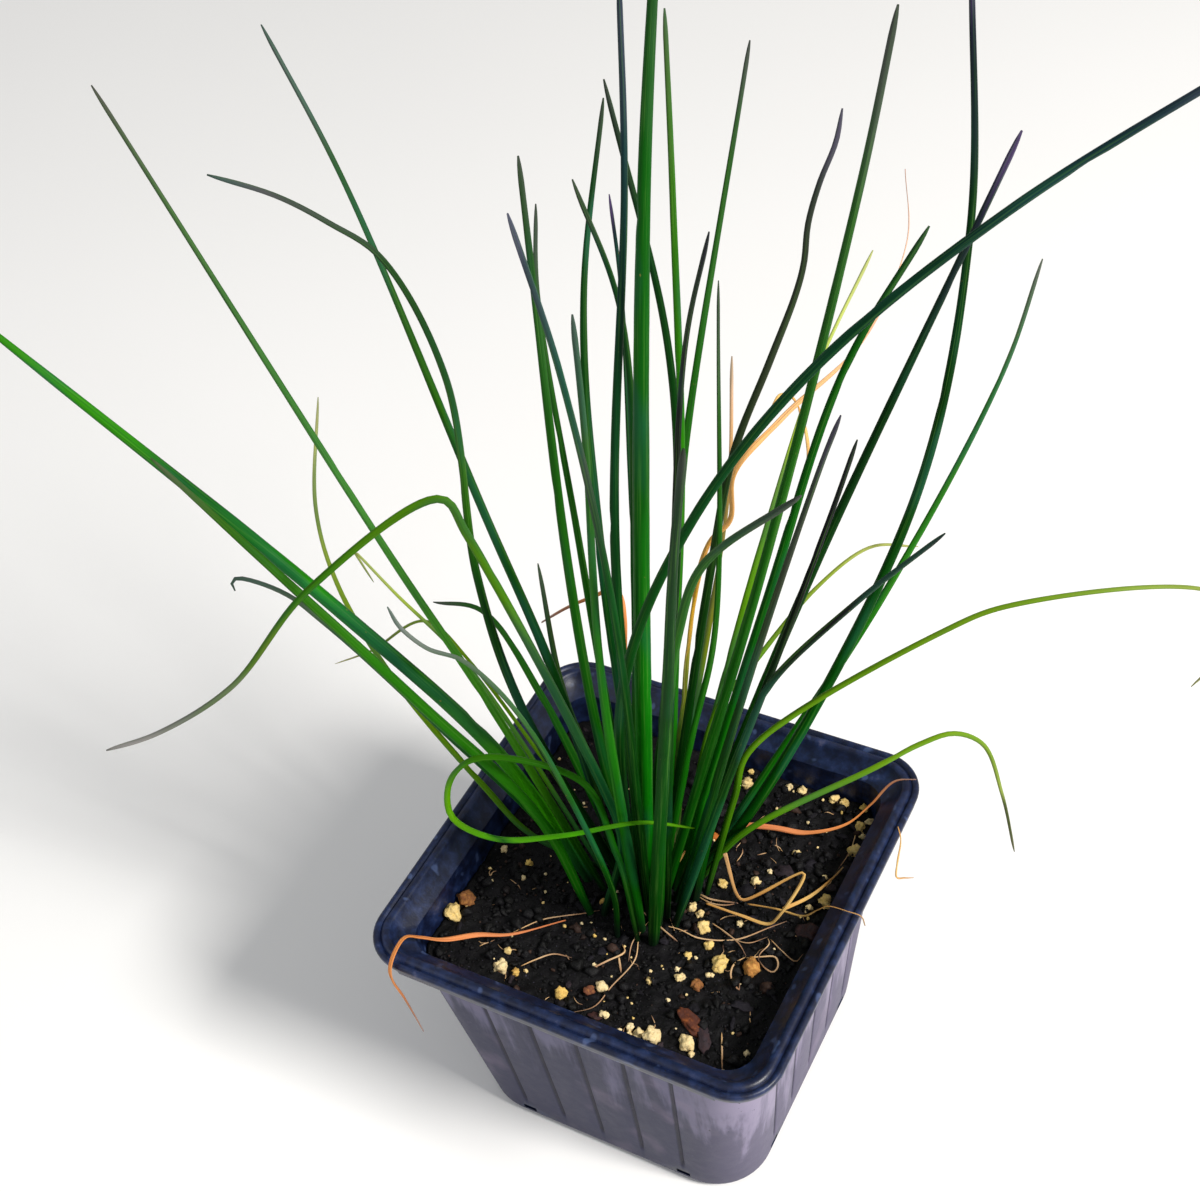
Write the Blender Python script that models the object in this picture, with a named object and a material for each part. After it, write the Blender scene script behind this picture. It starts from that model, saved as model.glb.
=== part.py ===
"""Potted chives: a clump of round hollow leaves in a square black nursery pot filled with potting soil.

Metres, +Z up. The origin is the centre of the pot's base, on the surface that the pot stands on.
The pot's sides run along X and Y. Sizes below are written in millimetres times MM.
"""
import bmesh
import bpy
from math import cos, degrees, pi, sin
from mathutils import Euler, Vector, noise

MM = 0.001
GAP = 0.3                  # clearance between pieces that touch, mm

# Pot, mm
RIM_SIDE = 90.0            # over the rim, the driving size
POT_HEIGHT = 65.0
BASE_SIDE = 67.0
RIM_CORNER = 10.0          # corner radius at the rim
BASE_CORNER = 12.5         # corner radius at the base
WALL = 1.1
FLOOR = 1.3
RIM_OVERHANG = 6.0         # from the wall under the rim out to the rim's edge
SKIRT_BOTTOM = 61.6        # lower edge of the rim's skirt along the sides
SKIRT_INSET = 0.4          # the skirt leans in by this much at its lower edge
CORNER_LIFT = 0.7          # the skirt is this much shorter round the corners
# The rim over its top: how far in from its side, and how far below the pot's height
RIM_PROFILE = ((0.0, 1.2), (0.7, 0.3), (1.6, 0.8), (2.7, 0.0), (4.1, 0.5))
MOUTH_DROP = 1.5           # the inner wall starts this far below the skirt's lower edge
FOOT_HEIGHT = 2.2          # the base's edge is chamfered up to here
FOOT_INSET = 1.6
FLUTE_COUNT = 5            # flutes on each side of the pot
FLUTE_PITCH = 11.0         # under the skirt; the flutes draw together as the pot tapers
FLUTE_WIDTH = 2.4
FLUTE_DEPTH = 0.5
FLUTE_FOOT = 8.5           # flutes fade out from here up
FLUTE_FADE = 2.0
CORNER_STEPS = 4
DRAIN_RADIUS = 3.5
DRAIN_OFFSET = 16.0
SLOT_SIZE = (3.2, 4.0, 1.5)    # drain slots low on the walls, beside each corner
SLOT_FROM_CENTRE = 19.0
SLOT_HEIGHT = 3.6

# Soil, mm
SOIL_LEVEL = 54.6          # flat patch that the clump grows from
SOIL_BOTTOM = FLOOR + GAP
SOIL_ROUGHNESS = 1.5
SOIL_LUMP = 9.0            # the lumps' size
SOIL_SHOULDER = 3.0        # the block's straight side ends this far below its level
SOIL_CORNER_SHARE = 0.12
SOIL_SIDE_SPREAD = 0.55    # the points along a side reach this share of its half
SOIL_RINGS = (1.0, 0.82, 0.62, 0.44)
SOIL_FLAT = 0.5            # rings inside this share of the half side stay level
ROOT_Z = SOIL_LEVEL + GAP

# Leaves
LEAF_SIDES = 6
RINGS_ALONG = 5            # rings that a straight leaf's length is spent on
RINGS_LEAST = 6
TURN_PER_RING = 12.0       # degrees of bend that one more ring is spent on
LEAF_BASE_SHARE = 0.84     # width at the soil as a share of the widest part
LEAF_TIP_SHARE = 0.14
LEAF_STUB = 1.4            # each leaf rises straight out of the soil for this long, mm

COLOURS = {
    "pot": ((0.018, 0.020, 0.034), 0.42),
    "soil": ((0.012, 0.010, 0.010), 0.95),
    "green": ((0.035, 0.150, 0.022), 0.45),
    "bright": ((0.085, 0.300, 0.010), 0.45),
    "blue_green": ((0.022, 0.095, 0.042), 0.50),
    "lime": ((0.200, 0.400, 0.015), 0.45),
    "straw": ((0.560, 0.270, 0.070), 0.70),
}

# Each leaf: its colour, its widest width in mm, where it leaves the soil (x, y), then the points
# that it passes through on its way to the tip (x, y, z), in mm.
LEAVES = {
    "leaf_left_1": ("green", 3.0, (-9.5, -5.2), (-28, -8, 111), (-43, -8, 144), (-89, 1, 226)),
    "leaf_left_2": (
        "green", 2.9, (-7.2, -0.7), (-18, 2, 112), (-30, 6, 146), (-55, 18, 204), (-70, 24, 228)),
    "leaf_left_3": (
        "blue_green", 2.7, (-3.0, -4.5),
        (-18, -10, 114), (-22, -10, 147), (-24, -5, 187), (-28, -5, 202), (-39, -8, 217), (-54, -14, 224)),
    "leaf_left_4": ("bright", 3.1, (-13.6, -4.2), (-27, -8, 93), (-51, -16, 133), (-106, -28, 198)),
    "leaf_left_5": ("green", 2.6, (-8.9, -12.0), (-17, -13, 85), (-36, -18, 116), (-76, -25, 170)),
    "leaf_left_6": (
        "blue_green", 2.6, (-11.9, -8.8),
        (-18, -10, 77), (-35, -14, 104), (-48, -16, 123), (-61, -19, 135), (-70, -21, 137)),
    "leaf_left_7": (
        "lime", 1.6, (-11.6, -0.8),
        (-26, -5, 65), (-34, -6, 77), (-52, -5, 102), (-63, -2, 122), (-68, 3, 137), (-70, 14, 156)),
    "leaf_left_8": (
        "green", 2.5, (-6.4, -10.7),
        (-2, -7, 75), (-3, -7, 87), (-20, -13, 160), (-23, -14, 168), (-47, -26, 149), (-65, -35, 125),
        (-80, -43, 114), (-90, -48, 110)),
    "leaf_left_9": ("blue_green", 2.2, (-10.1, 4.2), (-31, 15, 85), (-48, 23, 97), (-62, 24, 94)),
    "leaf_left_10": ("blue_green", 3.2, (-1.2, -14.8), (1, -17, 73), (3, -32, 130), (5, -64, 199)),
    "leaf_left_11": (
        "lime", 1.5, (-8.8, -3.2),
        (-33, 0, 101), (-40, 0, 112), (-51, 1, 121), (-60, 2, 129), (-60, 3, 125), (-60, 5, 118)),
    "leaf_left_12": ("lime", 1.5, (-9.2, 1.4), (-50, 17, 87), (-61, 20, 92), (-81, 21, 74), (-93, 21, 65)),
    "leaf_mid_1": ("green", 2.7, (-4.9, 1.2), (-10, 3, 89), (-16, 10, 132), (-30, 35, 204)),
    "leaf_mid_2": ("blue_green", 2.8, (2.7, -7.8), (10, -17, 154), (15, -30, 215), (18, -41, 249)),
    "leaf_mid_3": ("blue_green", 2.5, (-6.7, 3.6), (-24, 27, 120), (-37, 45, 167), (-41, 55, 180)),
    "leaf_mid_4": ("green", 2.7, (2.7, -11.5), (5, -16, 138), (11, -20, 196), (13, -22, 220)),
    "leaf_mid_5": ("green", 2.7, (-3.8, 4.3), (-19, 27, 131), (-28, 47, 167), (-33, 71, 195)),
    "leaf_mid_6": ("green", 2.4, (-3.6, -1.6), (0, 7, 137), (0, 13, 193), (-6, 13, 217)),
    "leaf_mid_7": ("green", 2.3, (-3.5, 7.3), (-22, 45, 111), (-35, 73, 150), (-43, 86, 163)),
    "leaf_mid_8": ("blue_green", 2.7, (1.0, -5.5), (5, -6, 160), (13, -4, 230), (16, -5, 262)),
    "leaf_mid_9": ("green", 2.5, (-2.1, 0.5), (4, 17, 141), (2, 24, 179), (-9, 31, 224)),
    "leaf_mid_10": ("bright", 3.4, (-0.7, -2.2), (9, -3, 166), (18, -7, 234), (25, -10, 274)),
    "leaf_mid_11": ("bright", 2.8, (-1.1, 3.2), (1, 25, 142), (-5, 43, 194), (-11, 57, 223)),
    "leaf_mid_12": ("green", 2.8, (-0.3, 6.6), (-4, 28, 109), (-6, 39, 135), (-13, 94, 198)),
    "leaf_mid_13": ("blue_green", 2.5, (6.1, -6.5), (19, -15, 149), (30, -22, 218), (37, -26, 241)),
    "leaf_mid_14": ("blue_green", 2.5, (2.2, -1.3), (9, 6, 99), (14, 10, 127), (15, 19, 199)),
    "leaf_mid_15": ("lime", 2.2, (-2.0, 9.7), (-1, 37, 101), (-2, 51, 124), (-8, 68, 143)),
    "leaf_mid_16": ("green", 2.8, (1.4, 1.7), (12, 15, 140), (17, 19, 166), (24, 29, 194), (29, 37, 222)),
    "leaf_mid_17": ("green", 3.2, (3.7, -3.9), (28, 5, 157), (44, 6, 229), (50, 4, 258)),
    "leaf_mid_18": ("lime", 2.3, (1.7, 8.6), (7, 44, 113), (9, 70, 141), (12, 94, 156)),
    "leaf_mid_19": ("blue_green", 2.6, (6.3, -13.2), (23, -26, 145), (36, -41, 199), (45, -52, 229)),
    "leaf_mid_20": ("blue_green", 2.2, (-6.9, 6.5), (-27, 18, 80), (-42, 37, 101)),
    "leaf_mid_21": (
        "blue_green", 2.6, (5.2, -9.1), (19, -20, 134), (26, -24, 165), (33, -27, 184), (50, -30, 205)),
    "leaf_right_1": (
        "blue_green", 3.2, (4.6, 4.3), (12, 10, 62), (40, 41, 139), (44, 56, 191), (39, 66, 234)),
    "leaf_right_2": ("green", 3.0, (9.7, -0.4), (14, 3, 81), (31, 14, 142), (58, 34, 225)),
    "leaf_right_3": ("green", 2.6, (7.6, 9.0), (33, 47, 110), (45, 78, 146), (47, 92, 163)),
    "leaf_right_4": (
        "blue_green", 3.3, (-0.6, -8.1),
        (6, -11, 130), (21, -8, 172), (41, -4, 205), (67, 1, 234), (97, 4, 261)),
    "leaf_right_5": ("bright", 2.8, (4.7, 0.7), (21, 18, 130), (31, 32, 176), (41, 44, 199)),
    "leaf_right_6": ("blue_green", 2.5, (8.0, -4.7), (28, -10, 132), (46, -14, 196), (50, -16, 208)),
    "leaf_right_7": ("green", 2.5, (6.1, -2.1), (27, 0, 123), (41, 1, 172), (46, 0, 190)),
    "leaf_side_1": (
        "lime", 1.9, (3.5, 6.9), (7, 21, 91), (11, 29, 97), (19, 45, 108), (26, 56, 112), (33, 66, 106)),
    "leaf_side_2": (
        "blue_green", 2.6, (8.6, -7.5), (31, -13, 131), (37, -15, 148), (53, -18, 175), (68, -24, 199)),
    "leaf_side_3": (
        "lime", 2.3, (11.1, 2.3),
        (17, 7, 84), (20, 10, 97), (50, 33, 119), (60, 41, 122), (92, 65, 115), (98, 69, 101), (91, 67, 86)),
    "leaf_side_4": (
        "lime", 2.3, (8.2, 3.3),
        (17, 10, 69), (38, 27, 80), (46, 34, 84), (51, 38, 85), (56, 42, 80), (60, 46, 61), (63, 49, 39)),
    "leaf_loop": (
        "bright", 2.1, (3.3, -14.3),
        (4, -17, 82), (3, -17, 88), (-5, -12, 99), (-19, -17, 106), (-26, -19, 104), (-32, -20, 94),
        (-31, -22, 88), (-20, -24, 89), (-5, -22, 95), (8, -14, 96), (17, -10, 94)),
    "dry_leaf_tall": (
        "straw", 2.2, (1.7, 4.4),
        (7, 23, 135), (10, 27, 139), (10, 30, 148), (16, 39, 156), (26, 53, 166), (30, 64, 181),
        (28, 68, 193)),
    "dry_leaf_back": (
        "straw", 1.8, (-5.2, 10.8),
        (-17, 26, 80), (-25, 41, 95), (-33, 41, 90), (-39, 41, 85), (-48, 43, 75)),
}

# Dry pieces that lie on the soil and over the rim, as above, each from one end to the other.
LITTER = {
    "dry_leaf_left": (
        "straw", 1.8,
        (-12, -17, 57.2), (-21, -25, 57.5), (-27, -28, 58), (-32, -33, 60), (-34.5, -36.5, 64),
        (-36, -39, 66.5), (-36, -43, 66.6), (-35.5, -46, 65.2), (-35, -46.7, 62), (-33.5, -46.6, 57),
        (-31, -46.6, 46)),
    "dry_leaf_right": (
        "straw", 1.5,
        (8, 19, 57), (18, 21.5, 57.5), (25, 23, 57.5), (32, 28, 58), (35.5, 33, 60.5), (39.5, 36.8, 66),
        (43.5, 38.8, 66.2)),
    "straw_folded": (
        "straw", 1.1,
        (12.8, -1.4, 56.8), (20.8, -1.5, 57), (27, -1.5, 57.5), (28.7, -0.6, 59.5), (31.9, 6, 68),
        (20.8, -0.2, 60.8), (19.6, -0.2, 62), (16.3, 2.3, 71)),
    "straw_over_rim": (
        "straw", 1.1,
        (21, 1.4, 57.4), (27, 1.8, 58.6), (33.4, 1.5, 60), (36.6, 1.3, 64), (39, 1.5, 66.4), (43, 1.9, 66.3),
        (45.6, 2.2, 65.8), (46.4, 2.3, 63)),
    "twig": ("straw", 1.0, (28, 3.6, 56.7), (31.7, 8.5, 56.7), (34.2, 14.2, 56.8), (35.4, 18, 57)),
}


def clear_scene():
    """Remove every object, so that the model starts from an empty scene."""
    for obj in list(bpy.data.objects):
        bpy.data.objects.remove(obj, do_unlink=True)


def collection(name):
    """A new collection in the scene."""
    group = bpy.data.collections.new(name)
    bpy.context.scene.collection.children.link(group)
    return group


def material(name):
    """The Principled material of one of COLOURS."""
    colour, roughness = COLOURS[name]
    mat = bpy.data.materials.get(name) or bpy.data.materials.new(name)
    mat.use_nodes = True
    shader = mat.node_tree.nodes["Principled BSDF"]
    shader.inputs["Base Color"].default_value = (*colour, 1.0)
    shader.inputs["Roughness"].default_value = roughness
    shader.inputs["Metallic"].default_value = 0.0
    mat.diffuse_color = (*colour, 1.0)
    return mat


def add_object(name, data, group, colour):
    """An object for this data, in its collection and with its material."""
    obj = bpy.data.objects.new(name, data)
    group.objects.link(obj)
    data.materials.append(material(colour))
    return obj


def blend(low, high, share):
    """The value at this share of the way from low to high."""
    return low + (high - low) * share


def square_section(half, radius, side_places, z, corner_z=None, groove=None):
    """One loop of points round a square with rounded corners, anticlockwise from above.

    side_places are the points along each side, as distances from the side's middle, and
    groove gives how far each of them sinks into the side. corner_z is the height of the
    points on the corners' arcs.
    """
    points = []
    corner_z = z if corner_z is None else corner_z
    reach = half - radius
    for quarter in range(4):
        turn = quarter * pi / 2
        along = Vector((-sin(turn), cos(turn), 0))
        out = Vector((cos(turn), sin(turn), 0))
        places = [-reach, *side_places, reach]
        depths = [0.0, *(groove or [0.0] * len(side_places)), 0.0]
        for place, depth in zip(places, depths):
            points.append(out * (half - depth) + along * place + Vector((0, 0, z)))
        centre = out * reach + along * reach
        for step in range(1, CORNER_STEPS):
            angle = turn + step / CORNER_STEPS * pi / 2
            arm = Vector((cos(angle), sin(angle), 0)) * radius
            points.append(centre + arm + Vector((0, 0, corner_z)))
    return points


def loft(name, loops, group, colour, cap_first=True, cap_last=True):
    """A closed solid through loops of points that have the same count, in millimetres."""
    bm = bmesh.new()
    rows = [[bm.verts.new(point * MM) for point in loop] for loop in loops]
    count = len(rows[0])
    for lower, upper in zip(rows, rows[1:]):
        for i in range(count):
            j = (i + 1) % count
            bm.faces.new((lower[i], lower[j], upper[j], upper[i]))
    if cap_first:
        bm.faces.new(reversed(rows[0]))
    if cap_last:
        bm.faces.new(rows[-1])
    bmesh.ops.triangulate(bm, faces=bm.faces[:])
    bmesh.ops.recalc_face_normals(bm, faces=bm.faces[:])
    mesh = bpy.data.meshes.new(name)
    bm.to_mesh(mesh)
    bm.free()
    return add_object(name, mesh, group, colour)


def flute_places(z):
    """Where the flutes' edges and bottoms lie along a side at this height, and how deep they are."""
    narrowing = wall_half(z) / wall_half(SKIRT_BOTTOM)
    places, depths = [], []
    for i in range(FLUTE_COUNT):
        middle = (i - (FLUTE_COUNT - 1) / 2) * FLUTE_PITCH
        for offset, depth in ((-0.5, 0.0), (0.0, FLUTE_DEPTH), (0.5, 0.0)):
            places.append((middle + offset * FLUTE_WIDTH) * narrowing)
            depths.append(depth)
    return places, depths


def wall_half(z):
    """Half the width of the pot's wall at this height, outside."""
    return blend(BASE_SIDE / 2, RIM_SIDE / 2 - RIM_OVERHANG, z / SKIRT_BOTTOM)


def wall_corner(z):
    """The corner radius of the pot's wall at this height, outside."""
    return blend(BASE_CORNER, RIM_CORNER - RIM_OVERHANG / 2, z / SKIRT_BOTTOM)


def make_pot(group, cutters):
    """The pot: chamfered foot, fluted tapering walls, skirt and rolled rim, hollow inside."""
    rim = RIM_SIDE / 2

    def wall(z, inset=0.0, grooved=False):
        places, depths = flute_places(z)
        return square_section(
            wall_half(z) - inset, wall_corner(z) - inset, places, z, None, depths if grooved else None)

    def lip(inset, z, corner_z=None):
        places, _ = flute_places(SKIRT_BOTTOM)
        return square_section(rim - inset, RIM_CORNER - inset, places, z, corner_z)

    skirt_corner = SKIRT_BOTTOM + CORNER_LIFT
    loops = [
        wall(0.0, FOOT_INSET),
        wall(FOOT_HEIGHT),
        wall(FLUTE_FOOT),
        wall(FLUTE_FOOT + FLUTE_FADE, grooved=True),
        wall(SKIRT_BOTTOM, grooved=True),
        lip(SKIRT_INSET, SKIRT_BOTTOM, skirt_corner),
        *(lip(inset, POT_HEIGHT - drop) for inset, drop in RIM_PROFILE),
        wall(SKIRT_BOTTOM - MOUTH_DROP, WALL),
        wall(FLOOR, WALL),
    ]
    pot = loft("pot", loops, group, "pot")
    cut_drains(pot, cutters)
    return pot


def cut_drains(pot, cutters):
    """Cut four round drain holes in the floor and a slot on each side of every corner."""
    for quarter in range(4):
        turn = quarter * pi / 2 + pi / 4
        bpy.ops.mesh.primitive_cylinder_add(
            vertices=12, radius=DRAIN_RADIUS * MM, depth=4 * FLOOR * MM,
            location=(DRAIN_OFFSET * cos(turn) * MM, DRAIN_OFFSET * sin(turn) * MM, 0))
        take_as_cutter(pot, cutters, f"drain_{quarter + 1}")
    width, depth, height = SLOT_SIZE
    for quarter in range(4):
        for side in (-1, 1):
            turn = quarter * pi / 2
            place = Vector((wall_half(SLOT_HEIGHT), side * SLOT_FROM_CENTRE, SLOT_HEIGHT))
            place.rotate(Euler((0, 0, turn)))
            bpy.ops.mesh.primitive_cube_add(size=MM, location=place * MM, rotation=(0, 0, turn))
            bpy.context.object.scale = (depth, width, height)
            take_as_cutter(pot, cutters, f"slot_{quarter * 2 + (side + 3) // 2}")


def take_as_cutter(target, cutters, name):
    """Make the active object a hidden cutter, and cut the target with it."""
    cutter = bpy.context.object
    cutter.name = name
    for group in list(cutter.users_collection):
        group.objects.unlink(cutter)
    cutters.objects.link(cutter)
    cutter.hide_render = True
    cutter.display_type = "WIRE"
    cut = target.modifiers.new(name, "BOOLEAN")
    cut.operation = "DIFFERENCE"
    cut.solver = "EXACT"
    cut.object = cutter


def make_soil(group):
    """The block of soil: it fills the pot below an uneven top, level where the leaves grow."""
    def loop(z, share=1.0, rough=False):
        half = (wall_half(z) - WALL - GAP) * share
        radius = max((wall_corner(z) - WALL) * share, half * SOIL_CORNER_SHARE)
        side = [(i - 3) / 3 * SOIL_SIDE_SPREAD * half for i in range(7)]
        points = square_section(half, radius, side, z)
        if rough:
            for point in points:
                lump = noise.noise(Vector((point.x, point.y, 0)) / SOIL_LUMP)
                point.z = z + SOIL_ROUGHNESS * lump
        return points

    loops = [loop(SOIL_BOTTOM), loop(SOIL_LEVEL - SOIL_SHOULDER)]
    for share in SOIL_RINGS:
        loops.append(loop(SOIL_LEVEL, share, share > SOIL_FLAT))
    return loft("soil", loops, group, "soil")


def smooth_route(points, steps=24):
    """A smooth curve through the points: a Catmull-Rom spline whose knots follow their spacing."""
    ends = [points[0] * 2 - points[1], *points, points[-1] * 2 - points[-2]]
    knots = [0.0]
    for a, b in zip(ends, ends[1:]):
        knots.append(knots[-1] + (b - a).length ** 0.5)
    curve = []
    for i in range(1, len(ends) - 2):
        before, here, there, after = ends[i - 1:i + 3]
        t0, t1, t2, t3 = knots[i - 1:i + 3]
        leave = (here - before) / (t1 - t0) - (there - before) / (t2 - t0) + (there - here) / (t2 - t1)
        arrive = (there - here) / (t2 - t1) - (after - here) / (t3 - t1) + (after - there) / (t3 - t2)
        span = t2 - t1
        for step in range(steps):
            u = step / steps
            curve.append(
                here * (2 * u ** 3 - 3 * u ** 2 + 1) + leave * span * (u ** 3 - 2 * u ** 2 + u)
                + there * (3 * u ** 2 - 2 * u ** 3) + arrive * span * (u ** 3 - u ** 2))
    curve.append(points[-1])
    return curve


def even_rings(curve):
    """Points along the curve for the leaf's rings, closer where it bends: (share, point) pairs."""
    lengths, bends = [0.0], [0.0]
    for i in range(1, len(curve)):
        lengths.append(lengths[-1] + (curve[i] - curve[i - 1]).length)
        turn = 0.0
        if i < len(curve) - 1:
            turn = degrees((curve[i + 1] - curve[i]).angle(curve[i] - curve[i - 1]))
        bends.append(bends[-1] + turn)
    total = lengths[-1]
    effort = [
        length / total * RINGS_ALONG + bend / TURN_PER_RING for length, bend in zip(lengths, bends)]
    count = max(RINGS_LEAST, round(effort[-1]) + 1)
    rings = []
    for k in range(count):
        goal = effort[-1] * k / (count - 1)
        i = next(j for j, value in enumerate(effort) if value >= goal - 1e-9)
        i = max(i, 1) if k else 0
        rings.append((lengths[i] / total, curve[i]))
    return rings


def leaf_width(share):
    """A leaf's width at this share of its length, against its widest part."""
    taper = LEAF_TIP_SHARE + (1 - LEAF_TIP_SHARE) * (1 - share ** 2.2) ** 0.9
    base = min(1.0, LEAF_BASE_SHARE + (1 - LEAF_BASE_SHARE) * share / 0.15)
    return taper * base


def make_leaf(name, colour, width, points, group, stub=0.0):
    """A round leaf that tapers to its tip along a smooth route, in millimetres.

    It starts straight up for the length of its stub, so that its foot is level.
    """
    curve = bpy.data.curves.new(name, "CURVE")
    curve.dimensions = "3D"
    curve.bevel_depth = width / 2 * MM
    curve.bevel_resolution = (LEAF_SIDES - 4) // 2
    curve.use_fill_caps = True
    rings = even_rings(smooth_route([Vector(point) for point in points]))
    if stub:
        rings.insert(1, (0.0, rings[0][1] + Vector((0, 0, stub))))
    spline = curve.splines.new("POLY")
    spline.points.add(len(rings) - 1)
    for target, (share, place) in zip(spline.points, rings):
        target.co = (*(place * MM), 1.0)
        target.radius = leaf_width(share)
    return add_object(name, curve, group, colour)


def main():
    clear_scene()
    parts = collection("potted_chives")
    cutters = collection("cutters")
    make_pot(parts, cutters)
    make_soil(parts)
    for name, (colour, width, root, *through) in LEAVES.items():
        make_leaf(name, colour, width, [(*root, ROOT_Z), *through], parts, LEAF_STUB)
    for name, (colour, width, *points) in LITTER.items():
        make_leaf(name, colour, width, points, parts)


main()
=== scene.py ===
import random
from math import cos, pi, radians, sin

import bmesh
import bpy
import numpy as np
from mathutils import Euler, Matrix, Vector, noise


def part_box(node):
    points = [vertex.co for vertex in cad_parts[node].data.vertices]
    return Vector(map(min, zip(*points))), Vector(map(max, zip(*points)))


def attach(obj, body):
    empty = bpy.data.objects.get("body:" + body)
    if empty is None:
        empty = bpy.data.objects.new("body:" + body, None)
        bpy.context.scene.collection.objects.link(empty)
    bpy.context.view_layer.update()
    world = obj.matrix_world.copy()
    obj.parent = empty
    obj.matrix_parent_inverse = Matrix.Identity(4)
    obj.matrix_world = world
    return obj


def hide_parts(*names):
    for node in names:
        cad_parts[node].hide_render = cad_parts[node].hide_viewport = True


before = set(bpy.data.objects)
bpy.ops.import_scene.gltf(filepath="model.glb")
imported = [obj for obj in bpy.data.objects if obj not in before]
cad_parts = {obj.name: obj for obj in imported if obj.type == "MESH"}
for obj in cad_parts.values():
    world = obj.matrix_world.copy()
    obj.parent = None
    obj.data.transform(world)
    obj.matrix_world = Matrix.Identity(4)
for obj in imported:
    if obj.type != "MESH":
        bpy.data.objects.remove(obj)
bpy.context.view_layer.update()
mm = 0.001
potLow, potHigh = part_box("pot")
rimHalf = potHigh.x / mm
potHeight = potHigh.z / mm
soilTop = 54.6        # the soil's mean level, mm


# The camera stands where the photograph was taken from

cameraSet = {"eye": (124.2, -196.0, 366.2), "azimuth": 33.05, "elevation": 44.14, "roll": 8.11,
             "lens": 54.43, "sensor": 36.0}
photoSize = (1200, 1192)


def cameraWays():       # the camera's forward, right and up
    azimuth, elevation, roll = (radians(cameraSet[key]) for key in ("azimuth", "elevation", "roll"))
    forward = Vector((-sin(azimuth) * cos(elevation), cos(azimuth) * cos(elevation), -sin(elevation)))
    level = Vector((cos(azimuth), sin(azimuth), 0))
    right = level * cos(roll) + forward.cross(level) * sin(roll)
    return forward, right, right.cross(forward)


def placeCamera():
    forward, right, up = cameraWays()
    camera = bpy.data.objects.new("camera", bpy.data.cameras.new("camera"))
    camera.data.lens = cameraSet["lens"]
    camera.data.sensor_width = cameraSet["sensor"]
    camera.data.clip_start = 0.01
    turn = Matrix((right, up, -forward)).transposed().to_4x4()
    camera.matrix_world = Matrix.Translation(Vector(cameraSet["eye"]) * mm) @ turn
    bpy.context.scene.collection.objects.link(camera)
    bpy.context.scene.camera = camera


def atHeight(x, y, z):      # where the photograph's pixel (x, y) shows the height z, mm
    forward, right, up = cameraWays()
    focal = cameraSet["lens"] / cameraSet["sensor"] * photoSize[0]
    way = forward + right * ((x - photoSize[0] / 2) / focal) - up * ((y - photoSize[1] / 2) / focal)
    eye = Vector(cameraSet["eye"])
    return eye + way * ((z - eye.z) / way.z)


# Shader sockets that can be added, multiplied and so on

class Value:
    def __init__(self, tree, socket=None):
        self.tree = tree
        self.socket = socket

    def node(self, kind, settings=None, inputs=None, out=0):
        made = self.tree.nodes.new("ShaderNode" + kind)
        for key, setting in (settings or {}).items():
            if key == "stops":
                fillRamp(made.color_ramp, setting)
            else:
                setattr(made, key, setting)
        for key, given in (inputs or {}).items():
            if isinstance(given, Value):
                self.tree.links.new(given.socket, made.inputs[key])
            else:
                made.inputs[key].default_value = given
        return Value(self.tree, made.outputs[out])

    def maths(self, operation, first, second=0.0):
        return self.node("Math", {"operation": operation}, {0: first, 1: second})

    def __add__(self, other):
        return self.maths("ADD", self, other)

    def __radd__(self, other):
        return self.maths("ADD", other, self)

    def __sub__(self, other):
        return self.maths("SUBTRACT", self, other)

    def __rsub__(self, other):
        return self.maths("SUBTRACT", other, self)

    def __mul__(self, other):
        return self.maths("MULTIPLY", self, other)

    def __rmul__(self, other):
        return self.maths("MULTIPLY", other, self)

    def axis(self, number):     # one part of a vector
        return self.node("SeparateXYZ", None, {0: self}, number)

    def layer(self, name, out=2):       # a number kept on the mesh's points, or with out=1 a vector
        return self.node("Attribute", {"attribute_name": name}, None, out)


def fillRamp(ramp, stops):
    while len(ramp.elements) > 1:
        ramp.elements.remove(ramp.elements[-1])
    for i, (place, colour) in enumerate(stops):
        element = ramp.elements[0] if i == 0 else ramp.elements.new(place)
        element.position = place
        element.color = colour


def tone(red, green, blue, sheen=0.0):      # a colour given in per cent as a screen shows it
    def linear(part):
        part = part / 100
        light = part / 12.92 if part <= 0.04045 else ((part + 0.055) / 1.055) ** 2.4
        return max(0.0015, light - sheen)
    return (linear(red), linear(green), linear(blue), 1.0)


def blendColours(share, low, high, mode="MIX"):
    near = next(given for given in (share, low, high) if isinstance(given, Value))
    return near.node("Mix", {"data_type": "RGBA", "blend_type": mode}, {0: share, 6: low, 7: high}, 2)


def tint(colour, mask, *shade):     # a shade in per cent laid over a colour where the mask is 1
    return blendColours(mask, colour, tone(*shade))


def between(value, low, high):      # 0 below low, 1 above high, smooth on the way
    return value.node("MapRange", {"interpolation_type": "SMOOTHSTEP"},
                      {"Value": value, "From Min": low, "From Max": high})


def spots(place, scale, detail=2.0, roughness=0.5):      # noise around 0.5 over a place in mm
    return place.node("TexNoise", None,
                      {"Vector": place, "Scale": scale, "Detail": detail, "Roughness": roughness})


def streaks(place, along, across, detail=2.0, roughness=0.5):      # the same, drawn out along the piece
    place = place.node("VectorMath", {"operation": "MULTIPLY"}, {0: place, 1: (across, across, along)})
    return spots(place, 1.0, detail, roughness)


def startMaterial(name):        # a new material, and the piece's own coordinates in mm for its patterns
    material = bpy.data.materials.new(name)
    material.use_nodes = True
    place = Value(material.node_tree).node("TexCoord", out=3)
    return material, place.node("VectorMath", {"operation": "SCALE"}, {0: place, "Scale": 1 / mm})


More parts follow.
